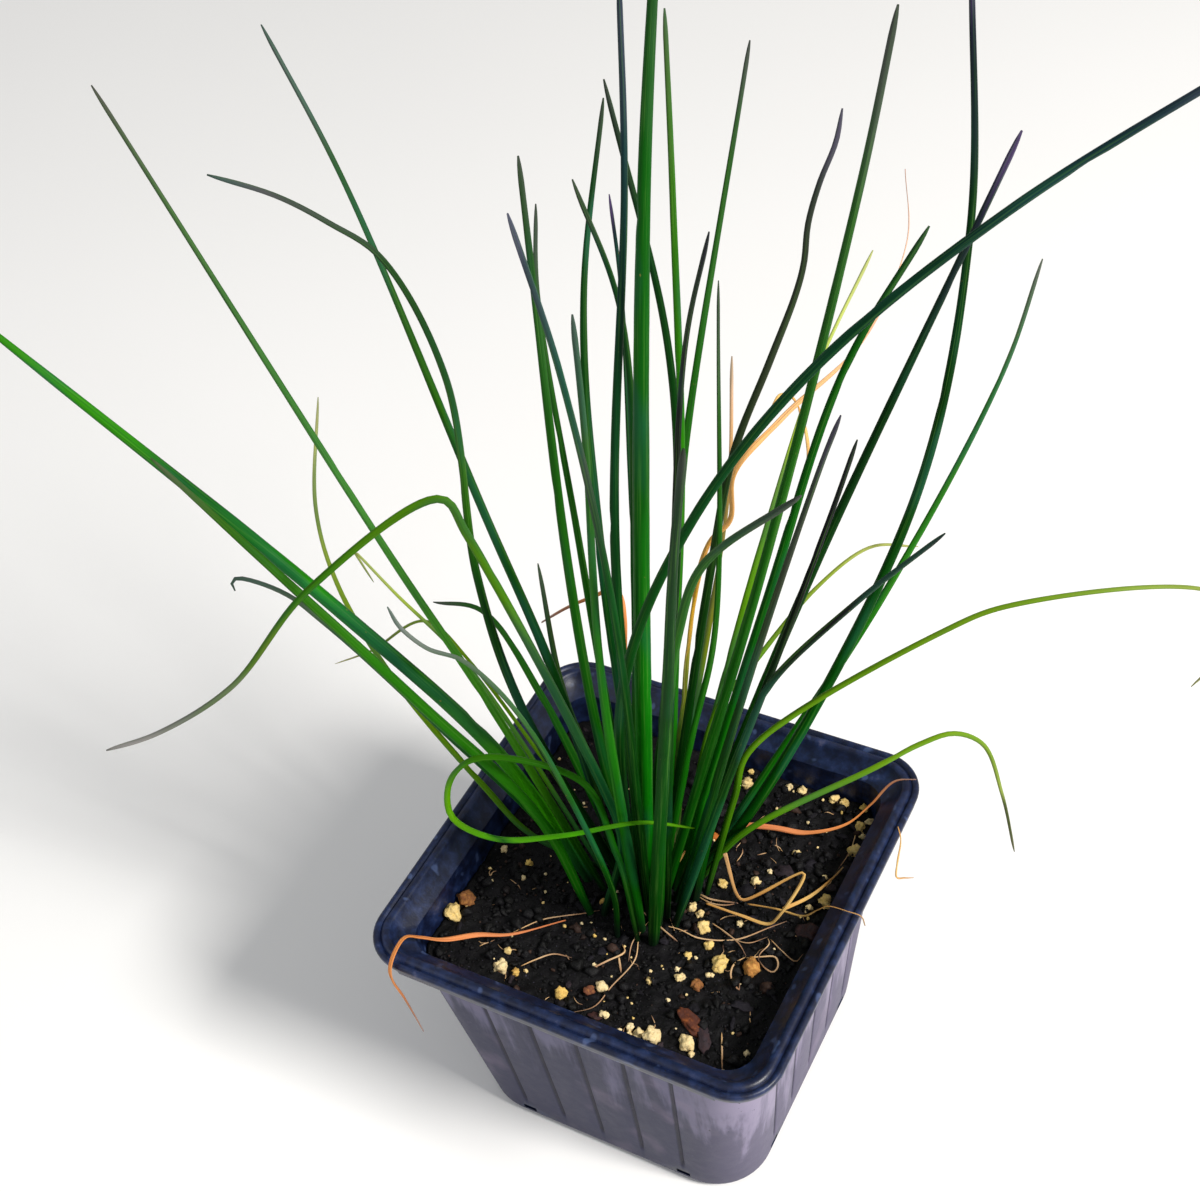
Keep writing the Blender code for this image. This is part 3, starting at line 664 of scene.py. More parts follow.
# Each leaf: its palette, its widest width, its foot (x, y), then the points that it passes through, mm
leaves = {
    "leaf_left_1": ("fresh", 2.0, (-9.5, -5.2), (-28, -8, 111), (-43, -8, 144), (-89, 1, 226)),
    "leaf_left_2": (
        "lowDark", 2.2, (-7.2, -0.7), (-18, 2, 112), (-30, 6, 146), (-55, 18, 204), (-70, 24, 228)),
    "leaf_left_3": (
        "lowDark", 2.25, (-3.0, -4.5),
        (-18, -10, 114), (-22, -10, 147), (-24, -5, 187), (-31.5, -5.5, 209), (-38, -8, 215.5),
        (-45, -10.5, 220.5), (-54.5, -14, 224.5)),
    "leaf_left_4": ("broad", 2.8, (-13.6, -4.2), (-27, -8, 93), (-51, -16, 133), (-106, -28, 198)),
    "leaf_left_5": ("bright", 2.2, (-8.9, -12.0), (-17, -13, 85), (-36, -18, 116), (-76, -25, 170)),
    "leaf_left_6": (
        "greyGreen", 2.1, (-11.9, -8.8),
        (-18, -10, 77), (-35, -14, 104), (-48.5, -16.5, 123), (-55, -17.5, 130.5), (-60, -18, 135),
        (-66, -19, 137.5), (-70.5, -20, 138), (-71.5, -20.5, 137), (-70.8, -21, 135.5)),
    "leaf_left_7": (
        "lime", 1.4, (-11.6, -0.8),
        (-26, -5, 65), (-34, -6, 77), (-52, -5, 102), (-63, -2, 122), (-68, 3, 137), (-70, 14, 156)),
    "leaf_left_8": (
        "arch", 2.25, (-6.4, -10.7),
        (-2, -7, 75), (-3, -7, 87), (-20, -13, 160), (-23, -14, 168), (-47, -26, 149), (-65, -35, 125),
        (-80, -43, 114), (-90, -48, 110)),
    "leaf_left_9": ("green", 2.2, (-10.1, 4.2), (-31, 15, 85), (-48, 23, 97), (-62, 24, 94)),
    "leaf_left_10": (
        "greyGreen", 1.6, (-1.2, -14.8),
        (1, -17, 73), (3, -32, 130), (4.5, -40.5, 153), (4.5, -45.5, 165), (4.5, -51.5, 176.5),
        (5, -59, 186.5), (4, -62, 193), (4.5, -64, 199)),
    "leaf_left_11": (
        "paleLime", 1.0, (-8.8, -3.2),
        (-33, 0, 101), (-40, 0, 112), (-51, 1, 121), (-60, 2, 129), (-60, 3, 125), (-60, 5, 118)),
    "leaf_left_12": ("lime", 0.85, (-9.2, 1.4), (-50, 17, 87), (-61, 20, 92), (-81, 21, 74), (-93, 21, 65)),
    "leaf_mid_1": ("green", 2.75, (-4.9, 1.2), (-10, 3, 89), (-16, 10, 132), (-30, 35, 204)),
    "leaf_mid_2": ("violetTip", 1.9, (2.7, -7.8), (10, -17, 154), (15, -30, 215), (18, -41, 249)),
    "leaf_mid_3": ("green", 2.2, (-6.7, 3.6), (-24, 27, 120), (-37, 45, 167), (-41, 55, 180)),
    "leaf_mid_4": ("green", 2.4, (2.7, -11.5), (5, -16, 138), (11, -20, 196), (13, -22, 220)),
    "leaf_mid_5": ("deep", 2.6, (-3.8, 4.3), (-19, 27, 131), (-28, 47, 167), (-33, 71, 195)),
    "leaf_mid_6": ("deep", 2.1, (-3.6, -1.6), (0, 7, 137), (0, 13, 193), (-6, 13, 217)),
    "leaf_mid_7": ("purpleTip", 2.0, (-3.5, 7.3), (-22, 45, 111), (-35, 73, 150), (-43, 86, 163)),
    "leaf_mid_8": ("blueDeep", 2.35, (1.0, -5.5), (5, -6, 160), (13, -4, 230), (16, -5, 262)),
    "leaf_mid_9": ("deep", 2.2, (-2.1, 0.5), (4, 17, 141), (2, 24, 179), (-9, 31, 224)),
    "leaf_mid_10": ("stout", 3.3, (-0.7, -2.2), (9, -3, 166), (18, -7, 234), (25, -10, 274)),
    "leaf_mid_11": ("bright", 2.45, (-1.1, 3.2), (1, 25, 142), (-5, 43, 194), (-11, 57, 223)),
    "leaf_mid_12": ("green", 2.6, (-0.3, 6.6), (-4, 28, 109), (-6, 39, 135), (-13, 94, 198)),
    "leaf_mid_13": ("darkTip", 1.8, (6.1, -6.5), (19, -15, 149), (30, -22, 218), (37, -26, 241)),
    "leaf_mid_14": ("green", 1.6, (2.2, -1.3), (9, 6, 99), (14, 10, 127), (15, 19, 199)),
    "leaf_mid_15": ("dryTip", 2.0, (-2.0, 9.7), (-1, 37, 101), (-2, 51, 124), (-8, 68, 143)),
    "leaf_mid_16": (
        "greyTip", 2.2, (1.4, 1.7),
        (12, 15, 140), (16, 18.5, 164), (21, 24, 181), (24, 28.5, 192), (25, 30, 197.5), (25, 32, 203.5),
        (26.5, 33.5, 210.5), (28.5, 35.5, 217), (29, 37, 222)),
    "leaf_mid_17": ("green", 2.5, (3.7, -3.9), (28, 5, 157), (44, 6, 229), (50, 4, 258)),
    "leaf_mid_18": ("paleLime", 2.2, (1.7, 8.6), (7, 44, 113), (9, 70, 141), (12, 94, 156)),
    "leaf_mid_19": ("deep", 2.9, (6.3, -13.2), (23, -26, 145), (36, -41, 199), (45, -52, 229)),
    "leaf_mid_20": ("olive", 2.5, (-6.9, 6.5), (-27, 18, 80), (-42, 37, 101)),
    "leaf_mid_21": (
        "green", 2.8, (5.2, -9.1), (19, -20, 134), (26, -24, 165), (33, -27, 184), (50, -30, 205)),
    "leaf_right_1": (
        "purpleTip", 2.6, (4.6, 4.3), (12, 10, 62), (40, 41, 139), (44, 56, 191), (39, 66, 234)),
    "leaf_right_2": ("purpleTip", 2.55, (9.7, -0.4), (14, 3, 81), (31, 14, 142), (58, 34, 225)),
    "leaf_right_3": ("green", 2.05, (7.6, 9.0), (33, 47, 110), (45, 78, 146), (47, 92, 163)),
    "leaf_right_4": (
        "blueDeep", 2.55, (-0.6, -8.1),
        (6, -11, 130), (21, -8, 172), (41, -4, 205), (67, 1, 234), (97, 4, 261)),
    "leaf_right_5": ("stout", 2.7, (4.7, 0.7), (21, 18, 130), (31, 32, 176), (41, 44, 199)),
    "leaf_right_6": ("greyTip", 2.2, (8.0, -4.7), (28, -10, 132), (46, -14, 196), (50, -16, 208)),
    "leaf_right_7": ("darkTip", 2.1, (6.1, -2.1), (27, 0, 123), (41, 1, 172), (46, 0, 190)),
    "leaf_side_1": (
        "paleLime", 1.3, (3.5, 6.9), (7, 21, 91), (11, 29, 97), (19, 45, 108), (26, 56, 112), (33, 66, 106)),
    "leaf_side_2": (
        "darkTip", 1.95, (8.6, -7.5), (31, -13, 131), (37, -15, 148), (53, -18, 175), (68, -24, 199)),
    "leaf_side_3": (
        "lime", 1.65, (11.1, 2.3),
        (17, 7, 84), (20, 10, 97), (50, 33, 119), (60, 41, 122), (92, 65, 115), (98, 69, 101), (91, 67, 86)),
    "leaf_side_4": (
        "lime", 1.5, (8.2, 3.3),
        (17, 10, 69), (38, 27, 80), (46, 34, 84), (51, 38, 85), (56, 42, 80), (60, 46, 61), (63, 49, 39)),
    "leaf_loop": (
        "loop", 1.3, (3.3, -14.3),
        (4, -17, 82), (3, -17, 88), (-5, -12, 99), (-19, -17, 106), (-26, -19, 104), (-32, -20, 94),
        (-31, -22, 88), (-20, -24, 89), (-5, -22, 95), (8, -14, 96), (17, -10, 94)),
}

fullness = {      # leaves that narrow later than the others, above 1, or sooner, below 1
    "leaf_loop": 6.0, "leaf_left_4": 4.0, "leaf_left_5": 4.0, "leaf_left_12": 3.0, "leaf_mid_10": 1.8,
    "leaf_left_7": 2.0, "leaf_left_11": 2.0, "leaf_side_1": 2.0, "leaf_mid_5": 1.3, "leaf_mid_14": 1.3,
    "leaf_side_4": 1.3, "leaf_mid_9": 1.2, "leaf_left_9": 1.2, "leaf_right_5": 1.2, "leaf_left_10": 0.6,
}
threadFrom = {      # the share of its length from which a leaf is a dry thread
    "leaf_mid_18": 0.62, "leaf_mid_15": 0.6, "leaf_left_7": 0.75, "leaf_left_12": 0.7, "leaf_side_1": 0.8,
}


def leafWidth(share, height, full):     # the share of its widest width that a leaf has along it
    foot = np.clip(height / leafSet["footReach"], 0, 1)
    low = leafSet["footWidth"]
    return (1 - leafSet["taper"] * share ** full) * (low + (1 - low) * foot * (2 - foot))


def makeLeaf(name, width, foot, through, material, number):
    chance = random.Random(number)
    depth = leafSet["rootDepth"]
    root = soilTop + soilSet["gap"]
    curve = smoothRoute([(*foot, root), *through])
    line, lengths = evenRoute(np.vstack([(*foot, root - depth), curve]), leafSet["spacing"])
    total = lengths[-1]
    share = np.clip((lengths - depth) / (total - depth), 0, 1)
    radius = width / 2 * leafWidth(share, lengths - depth, fullness.get(name, 1.0))
    if name in threadFrom:
        past = share - threadFrom[name] + leafSet["threadLead"]
        thin = eased(np.clip(past / leafSet["threadReach"], 0, 1))
        radius = radius * (1 - thin) + np.minimum(radius, leafSet["thread"] / 2) * thin
    tip = np.clip((total - lengths) / leafSet["tipLength"], 0, 1) ** 0.6
    radius = radius * (leafSet["tipWidth"] + (1 - leafSet["tipWidth"]) * tip)
    phase = chance.uniform(0, 100)
    turn = chance.uniform(0, 2 * pi)
    flat = chance.uniform(*leafSet["flat"])
    dents = [(chance.uniform(0.1, 0.95) * total, chance.uniform(0, 2 * pi), chance.uniform(0.12, 0.3))
             for _ in range(leafSet["dents"])]
    angles = ringAngles(leafSet["sides"])

    def section(ring):
        length = lengths[ring]
        wander = noise.noise(Vector((length / 16, phase, 0)))
        ripple = noise.noise(Vector((length / 5, phase, 4)))
        lean = turn + length / leafSet["twistLength"]
        reach = radius[ring] * (1 + 0.05 * wander + 0.02 * ripple)
        reach = reach * (1 + flat * np.cos(2 * (angles - lean)) + 0.012 * np.cos(6 * angles + phase))
        for where, way, deep in dents:
            near = eased(max(0.0, 1 - abs(length - where) / leafSet["dentReach"]))
            reach = reach * (1 - deep * near * np.maximum(0.0, np.cos(angles - way)) ** 2)
        return np.cos(angles) * reach, np.sin(angles) * reach

    points, straight = tubePoints(line, lengths + number * 300, angles, width / 2, section)
    values = {"straight": straight, "share": np.repeat(share, len(angles)),
              "tone": np.full(len(points), chance.random())}
    addPiece(name + "_blade", points, tubeFaces(len(line), len(angles)), material, values,
             replaced=[name])


def leafMaterial(name, stops):
    material, place = startMaterial("chive_leaf_" + name)
    share, shade, straight = place.layer("share"), place.layer("tone"), place.layer("straight", 1)
    patch = streaks(straight, 0.05, 0.25, 2.0)
    streak = streaks(straight, 0.03, leafSet["streaks"], 3.0, 0.6)
    veins = streaks(straight, 0.02, 5.0, 2.0)
    cells = streaks(straight, 1.2, 3.5, 2.0)
    ramp = share.node("ValToRGB", {"stops": rampStops(stops, leafSet["sheen"])},
                      {0: share + (patch - 0.5) * 0.22})
    pale = blendColours(0.5, ramp, tone(40, 62, 26))
    deep = blendColours(0.5, ramp, tone(2, 12, 5))
    colour = blendColours(between(streak, 0.52, 0.68) * 0.45, ramp, pale)
    colour = blendColours(between(0.5 - streak, 0.04, 0.2) * 0.8, colour, deep)
    cool = between(streaks(straight, 0.04, 0.2, 1.0) + (shade - 0.5) * 0.3, 0.5, 0.7)
    colour = tint(colour, cool * 0.45, 11, 33, 25)
    gain = 0.74 + shade * 0.38 + (patch - 0.5) * 0.6
    grey = gain.node("CombineColor", None, {0: gain, 1: gain, 2: gain})
    colour = blendColours(1.0, colour, grey, "MULTIPLY")
    spot = between(streaks(straight, 0.6, 1.0, 1.0), 0.78, 0.83)
    colour = tint(colour, spot * 0.5, 50, 46, 22)
    # the leaves' feet darker near the soil: soil on them, and painted shade where they crowd together
    soilAndShade = 1 - between(place.axis(2) + (patch - 0.5) * 9, soilTop + 1, soilTop + 11)
    colour = tint(colour, soilAndShade * 0.75, 6, 8, 8)
    rough = 0.46 + (cells - 0.5) * 0.16 + patch * 0.12
    return finishMaterial(material, colour, rough, 0.05, bump(veins * 0.75 + cells * 0.25, 0.09))


# Dead leaves and straws: colours, widest width, whether it grows out of the soil, then its points, mm

dryPieces = {
    "dry_leaf_tall": (
        "half", 2.2, True,
        (1.7, 4.4, 54.9), (7, 23, 135), (10, 27, 139), (10, 30, 148), (16, 39, 156), (26, 53, 166),
        (30, 64, 181), (28, 68, 193)),
    "dry_leaf_back": (
        "orange", 1.8, True,
        (-5.2, 10.8, 54.9), (-17, 26, 80), (-25, 41, 95), (-33, 41, 90), (-39, 41, 85), (-48, 43, 75)),
    "dry_leaf_left": (
        "orange", 1.8, False,
        (-12, -17, 57.2), (-21, -25, 57.5), (-27, -28, 58), (-32, -33, 60), (-34.5, -36.5, 64),
        (-36, -39, 66.5), (-36, -43, 66.6), (-35.5, -46, 65.2), (-35, -46.7, 62), (-33.5, -46.6, 57),
        (-31, -46.6, 46)),
    "dry_leaf_right": (
        "orange", 1.5, False,
        (8, 19, 57), (18, 21.5, 57.5), (25, 23, 57.5), (32, 28, 58), (35.5, 33, 60.5), (39.5, 36.8, 66),
        (43.5, 38.8, 66.2)),
    "straw_folded": (
        "straw", 1.1, False,
        (12.8, -1.4, 56.8), (20.8, -1.5, 57), (27, -1.5, 57.5), (28.7, -0.6, 59.5), (31.9, 6, 68),
        (20.8, -0.2, 60.8), (19.6, -0.2, 62), (16.3, 2.3, 71)),
    "straw_over_rim": (
        "straw", 1.1, False,
        (21, 1.4, 57.4), (27, 1.8, 58.6), (33.4, 1.5, 60), (36.6, 1.3, 64), (39, 1.5, 66.4), (43, 1.9, 66.3),
        (45.6, 2.2, 65.8), (46.4, 2.3, 63)),
    "twig": ("straw", 1.0, False, (28, 3.6, 56.7), (31.7, 8.5, 56.7), (34.2, 14.2, 56.8), (35.4, 18, 57)),
}
drySet = {"sides": 12, "spacing": 0.7, "flat": 0.5, "twistLength": 34.0}
# The share of its widest width that each strip has, evenly spaced along it
dryWidths = {
    "dry_leaf_tall": (0.9, 0.95, 0.85, 0.75, 0.6, 0.5, 0.4, 0.25, 0.12),
    "dry_leaf_back": (0.8, 1.0, 0.9, 0.8, 0.55, 0.4, 0.25),
    "dry_leaf_left": (0.15, 0.2, 0.45, 0.75, 0.7, 0.55, 0.65, 0.6, 0.5, 0.35, 0.15),
    "dry_leaf_right": (0.95, 0.85, 0.8, 0.7, 0.5, 0.4, 0.55, 0.5, 0.35),
    "straw_folded": (0.45, 0.6, 0.6, 0.6, 0.65, 0.6, 0.7, 0.6, 0.8),
    "straw_over_rim": (0.4, 0.6, 0.75, 0.5, 0.45, 0.45, 0.3),
    "twig": (0.8, 0.7, 0.55, 0.35),
}


def makeDry(name, width, rooted, route, material, number):
    chance = random.Random(400 + number)
    curve = smoothRoute(route)
    if rooted:
        curve = np.vstack([np.array(route[0]) - (0, 0, leafSet["rootDepth"]), curve])
    line, lengths = evenRoute(curve, drySet["spacing"])
    share = lengths / lengths[-1]
    widths = dryWidths[name]
    radius = width / 2 * np.interp(share, np.linspace(0, 1, len(widths)), widths)
    phase = chance.uniform(0, 100)
    angles = ringAngles(drySet["sides"])

    def section(ring):
        length = lengths[ring]
        lean = phase + length / drySet["twistLength"] + 0.8 * noise.noise(Vector((length / 9, phase, 0)))
        size = radius[ring] * (1 + 0.12 * noise.noise(Vector((length / 4, phase, 7))))
        flat = drySet["flat"] + 0.2 * noise.noise(Vector((length / 7, phase, 2)))
        crease = size * (1 + 0.16 * np.cos(3 * angles + phase))
        wide, thin = np.cos(angles) * crease, np.sin(angles) * flat * crease
        return wide * cos(lean) - thin * sin(lean), wide * sin(lean) + thin * cos(lean)

    points, straight = tubePoints(line, lengths + number * 200, angles, width / 2, section)
    values = {"straight": straight, "share": np.repeat(share, len(angles))}
    addPiece(name + "_strip", points, tubeFaces(len(line), len(angles)), material, values,
             replaced=[name])


dryPalettes = {
    "half": ((0.0, 11, 30, 10), (0.24, 20, 44, 8), (0.34, 50, 56, 8), (0.42, 82, 62, 14),
        (0.52, 88, 64, 32), (0.7, 90, 68, 44), (1.0, 86, 70, 64)),
    "orange": ((0.0, 80, 46, 28), (0.3, 88, 54, 34), (0.6, 84, 52, 26), (0.8, 74, 46, 26),
        (1.0, 54, 44, 42)),
    "root": ((0.0, 88, 70, 48), (0.4, 84, 70, 54), (0.8, 66, 50, 38), (1.0, 44, 34, 30)),
    "straw": ((0.0, 80, 58, 30), (0.4, 90, 74, 44), (0.7, 78, 56, 28), (1.0, 76, 60, 42)),
}


def dryMaterial(name, stops):
    material, place = startMaterial("dry_leaf_" + name)
    share, straight = place.layer("share"), place.layer("straight", 1)
    patch = streaks(straight, 0.12, 0.5, 3.0)
    streak = streaks(straight, 0.05, 3.4, 3.0, 0.6)
    colour = share.node("ValToRGB", {"stops": rampStops(stops)}, {0: share + (patch - 0.5) * 0.25})
    colour = tint(colour, between(streak, 0.52, 0.7) * 0.45, 94, 80, 58)
    colour = tint(colour, between(0.5 - streak, 0.04, 0.2) * 0.6, 46, 26, 12)
    rough = 0.55 + patch * 0.2
    return finishMaterial(material, colour, rough, 0.2, bump(streak, 0.16))


# Perlite and bark on the soil, each at its pixel (x, y) in the photograph, with its size in mm
# and its tone from cream (0) over yellow (0.5) to brown (1)

grains = (
    (453, 912, 3.6, 0.35), (466, 899, 3.2, 0.9), (504, 849, 1.7, 0.1), (529, 863, 1.6, 0.5),
    (523, 878, 1.3, 0.1), (508, 950, 1.5, 0.3), (501, 966, 2.5, 0.1), (516, 972, 1.8, 0.6),
    (526, 971, 0.9, 0.2), (561, 994, 2.7, 0.55), (602, 987, 2.4, 0.1), (589, 991, 2.2, 1.0),
    (604, 1015, 1.9, 0.1), (605, 903, 1.9, 0.6), (594, 964, 0.8, 0.0), (619, 1031, 1.3, 0.0),
    (630, 1027, 1.7, 0.0), (629, 1035, 1.4, 0.1), (639, 1035, 2.5, 0.1), (652, 1036, 3.4, 0.1),
    (687, 1043, 3.4, 0.15), (691, 1054, 1.3, 0.1), (650, 981, 1.5, 0.3), (679, 978, 1.8, 0.2),
    (677, 969, 1.1, 0.0), (688, 955, 1.6, 0.4), (697, 985, 2.2, 0.9), (720, 963, 3.3, 0.4),
    (708, 975, 1.0, 0.1), (709, 946, 1.9, 0.4), (703, 927, 2.6, 0.35), (700, 913, 1.5, 0.2),
    (692, 906, 2.1, 0.2), (740, 924, 1.6, 0.1), (723, 884, 2.4, 0.4), (756, 882, 2.0, 0.2),
    (747, 783, 2.6, 0.25), (752, 770, 1.4, 0.4), (722, 764, 1.7, 0.5), (806, 783, 2.0, 0.2),
    (789, 787, 1.5, 0.1), (839, 790, 2.0, 0.3), (849, 795, 2.0, 0.4), (842, 804, 1.3, 0.3),
    (868, 800, 1.8, 0.5), (860, 828, 2.4, 0.4), (881, 826, 1.6, 0.1), (870, 839, 1.2, 0.1),
    (864, 854, 2.8, 0.35), (797, 854, 1.7, 0.2), (770, 872, 1.2, 0.0), (825, 877, 1.1, 0.2),
    (825, 902, 2.6, 0.4), (809, 908, 1.6, 0.2), (682, 977, 1.4, 0.1), (747, 1054, 1.5, 0.0),
    (723, 1073, 1.1, 0.0), (712, 975, 0.8, 0.1), (650, 971, 0.8, 0.1), (668, 1000, 0.8, 0.0),
    (751, 968, 3.6, 0.75),
)
perliteSet = {"seed": 11, "specks": 90, "speckSizes": (0.35, 0.8), "gap": 2.0}


def makePerlite(material):
    chance = random.Random(perliteSet["seed"])
    lumps = []
    for x, y, size, shade in grains:
        shape, turn = threeOf(chance, 0.8, 1.15, size / 2), threeOf(chance, 0, 2 * pi)
        lumps.append((onSoil(x, y, size * 0.25), shape, turn, shade))
    makeLumps("perlite_grains", lumps, 3, material, 0.55, 1.5)
    lumps = []
    for _ in range(perliteSet["specks"]):
        x, y = anywhere(chance, soilEdge(perliteSet["gap"]))
        size = chance.uniform(*perliteSet["speckSizes"])
        shape, turn = threeOf(chance, 0.75, 1.2, size / 2), threeOf(chance, 0, 2 * pi)
        lumps.append(((x, y, soilHeight(x, y) + size * 0.4), shape, turn, chance.uniform(0, 0.5)))
    makeLumps("perlite_specks", lumps, 2, material, 0.6, 1.6)


def perliteMaterial():
    material, place = startMaterial("perlite")
    shade = place.layer("tone")
    pits = spots(place, 1.6, 4.0, 0.6)
    stops = (0.0, 94, 86, 68), (0.5, 90, 76, 42), (0.75, 72, 50, 26), (1.0, 42, 25, 18)
    colour = shade.node("ValToRGB", {"stops": rampStops(stops)}, {0: shade + (pits - 0.5) * 0.5})
    colour = tint(colour, between(pits, 0.55, 0.75) * 0.5, 52, 36, 22)
    return finishMaterial(material, colour, 0.85, 0.2, bump(pits, 0.4))


# Each chip: its pixel, its length, width and thickness in mm, its turn in degrees, its tone
chips = (
    (692, 1024, 7.0, 3.0, 1.3, -28, 0.75), (704, 1038, 5.5, 2.6, 1.2, -60, 0.5),
    (694, 1008, 3.0, 2.2, 1.4, -70, 0.15), (808, 933, 5.0, 4.4, 2.6, 20, 0.55),
    (744, 889, 4.4, 3.6, 2.0, 40, 0.2), (784, 872, 4.2, 3.0, 1.6, 0, 0.4),
    (741, 1006, 4.4, 2.2, 1.3, 10, 0.3), (595, 1016, 3.0, 1.8, 1.2, 0, 0.6),
    (810, 864, 2.6, 1.8, 1.2, 60, 0.3), (846, 870, 2.8, 2.0, 1.4, 20, 0.2),
    (560, 1003, 2.4, 2.0, 1.2, 0, 0.2), (770, 990, 4.5, 1.6, 1.0, -40, 0.3),
    (700, 856, 2.4, 2.2, 1.6, 0, 0.2), (714, 837, 3.6, 2.0, 1.3, -20, 1.0),
    (664, 942, 2.2, 1.8, 1.4, 0, 0.3),
)
chipSet = {"seed": 8, "count": 90, "lengths": (1.2, 3.4), "thickness": (0.4, 0.9), "gap": 2.5}


def makeBark(material):
    chance = random.Random(chipSet["seed"])
    lumps = []
    for x, y, long, wide, thick, turn, shade in chips:
        lean = (chance.uniform(-0.2, 0.2), chance.uniform(-0.2, 0.2), radians(turn))
        lumps.append((onSoil(x, y, thick * 0.2), (long / 2, wide / 2, thick / 2), lean, shade))
    for _ in range(chipSet["count"]):
        x, y = anywhere(chance, soilEdge(chipSet["gap"]))
        long = chance.uniform(*chipSet["lengths"])
        wide, thick = long * chance.uniform(0.3, 0.7), chance.uniform(*chipSet["thickness"])
        lean = (chance.uniform(-0.5, 0.5), chance.uniform(-0.5, 0.5), chance.uniform(0, 2 * pi))
        place = (x, y, soilHeight(x, y) + thick * 0.3)
        lumps.append((place, (long / 2, wide / 2, thick / 2), lean, chance.random() * 0.45))
    makeLumps("bark_chips", lumps, 3, material, 0.5, 1.4)


def barkMaterial():
    material, place = startMaterial("bark_chip")
    shade = place.layer("tone")
    fibre = streaks(place, 1.6, 0.7, 5.0, 0.65)
    stops = (0.0, 4, 4, 5), (0.3, 10, 9, 12), (0.5, 20, 16, 18), (0.75, 32, 17, 12), (1.0, 80, 45, 20)
    colour = shade.node("ValToRGB", {"stops": rampStops(stops)}, {0: shade + (fibre - 0.5) * 0.4})
    rough = 0.6 + fibre * 0.2
    return finishMaterial(material, colour, rough, 0.2, bump(fibre, 0.4))


# Fine roots and straws on the soil: width in mm, then the pixels that each one passes over
roots = (
    (0.41, (657, 924), (665, 931), (678, 941)),
    (0.34, (658, 924), (680, 930), (698, 938), (736, 939), (769, 928), (791, 920)),
    (0.28, (707, 920), (725, 933), (739, 944), (746, 956)),
    (0.25, (716, 926), (737, 940), (750, 943), (768, 938)),
    (0.25, (768, 938), (769, 945), (760, 954), (759, 961)),
    (0.25, (771, 939), (782, 952), (796, 962), (816, 958)),
    (0.37, (746, 957), (734, 965), (731, 977), (739, 989), (740, 982)),
    (0.37, (746, 957), (762, 957), (775, 958), (778, 965), (773, 972), (764, 967), (759, 960)),
    (0.28, (652, 918), (640, 933), (635, 960), (612, 986), (594, 1006), (570, 1013)),
    (0.41, (622, 944), (625, 951), (607, 961), (587, 971)),
    (0.45, (618, 955), (621, 973)),
    (0.33, (521, 966), (536, 959), (553, 954), (572, 958)),
    (0.28, (514, 932), (541, 920), (563, 916), (585, 913), (605, 909)),
    (0.37, (722, 1033), (722, 1071)),
    (0.41, (694, 891), (710, 899), (738, 903)),
    (0.3, (696, 895), (712, 903), (724, 905), (738, 903)),
    (0.25, (640, 909), (646, 914), (650, 920)),
    (0.25, (640, 930), (632, 945), (628, 962)),
    (0.25, (858, 829), (850, 852), (836, 872)),
)
# Straws that stand clear of the soil: width, then points in mm
straws = {
    "thread_over_rim": (
        0.4, (44.2, 26.3, 65.3), (45.4, 24.8, 63.6), (45.7, 22.3, 59), (45.7, 21.8, 54.5), (46.5, 25, 50.5),
        (47.5, 27.5, 48)),
    "husk_strip_back": (0.9, (7.3, 11.2, 66), (7.1, 9.8, 62), (5.6, 8.4, 56.5)),
    "husk_strip_front": (0.8, (7.4, 1.7, 68), (5.4, -0.4, 63), (3.4, -0.6, 56.5)),
    "splinter_loop": (
        0.6, (18, 41.5, 157.5), (16.5, 42, 158.8), (14.5, 41.5, 159), (13.5, 38, 156), (12.5, 36.5, 155)),
    "splinter_hanging": (
        0.65, (18, 41.5, 157.5), (20.5, 39, 154), (21.5, 37.5, 151.5), (22, 36, 149.5), (22, 34.5, 147.5)),
}
rootSet = {
    "sides": 7, "spacing": 0.6, "lift": 0.25, "arch": 0.8, "wander": 0.3,
    "fibres": 70, "fibreWidths": (0.12, 0.24), "fibreSteps": (0.5, 1.3), "gap": 3.5, "seed": 21,
}


def makeThreads(name, threads, material):       # threads: a width and a route for each
    points, faces, straight, shares = [], [], [], []
    angles = ringAngles(rootSet["sides"])
    for number, (width, route) in enumerate(threads):
        line, lengths = evenRoute(smoothRoute(route), rootSet["spacing"])
        share = lengths / lengths[-1]

        def section(ring):
            knobs = noise.noise(Vector((lengths[ring] / 2, number * 5, 0)))
            size = width / 2 * (1 - 0.6 * abs(2 * share[ring] - 1) ** 3) * (1 + 0.25 * knobs)
            return np.cos(angles) * size, np.sin(angles) * size

        newPoints, newStraight = tubePoints(line, lengths + number * 60, angles, 0.5, section)
        faces += tubeFaces(len(line), len(angles), len(points))
        points += newPoints
        straight += newStraight
        shares += list(np.repeat(share, len(angles)))
    addPiece(name, points, faces, material, {"straight": straight, "share": shares})


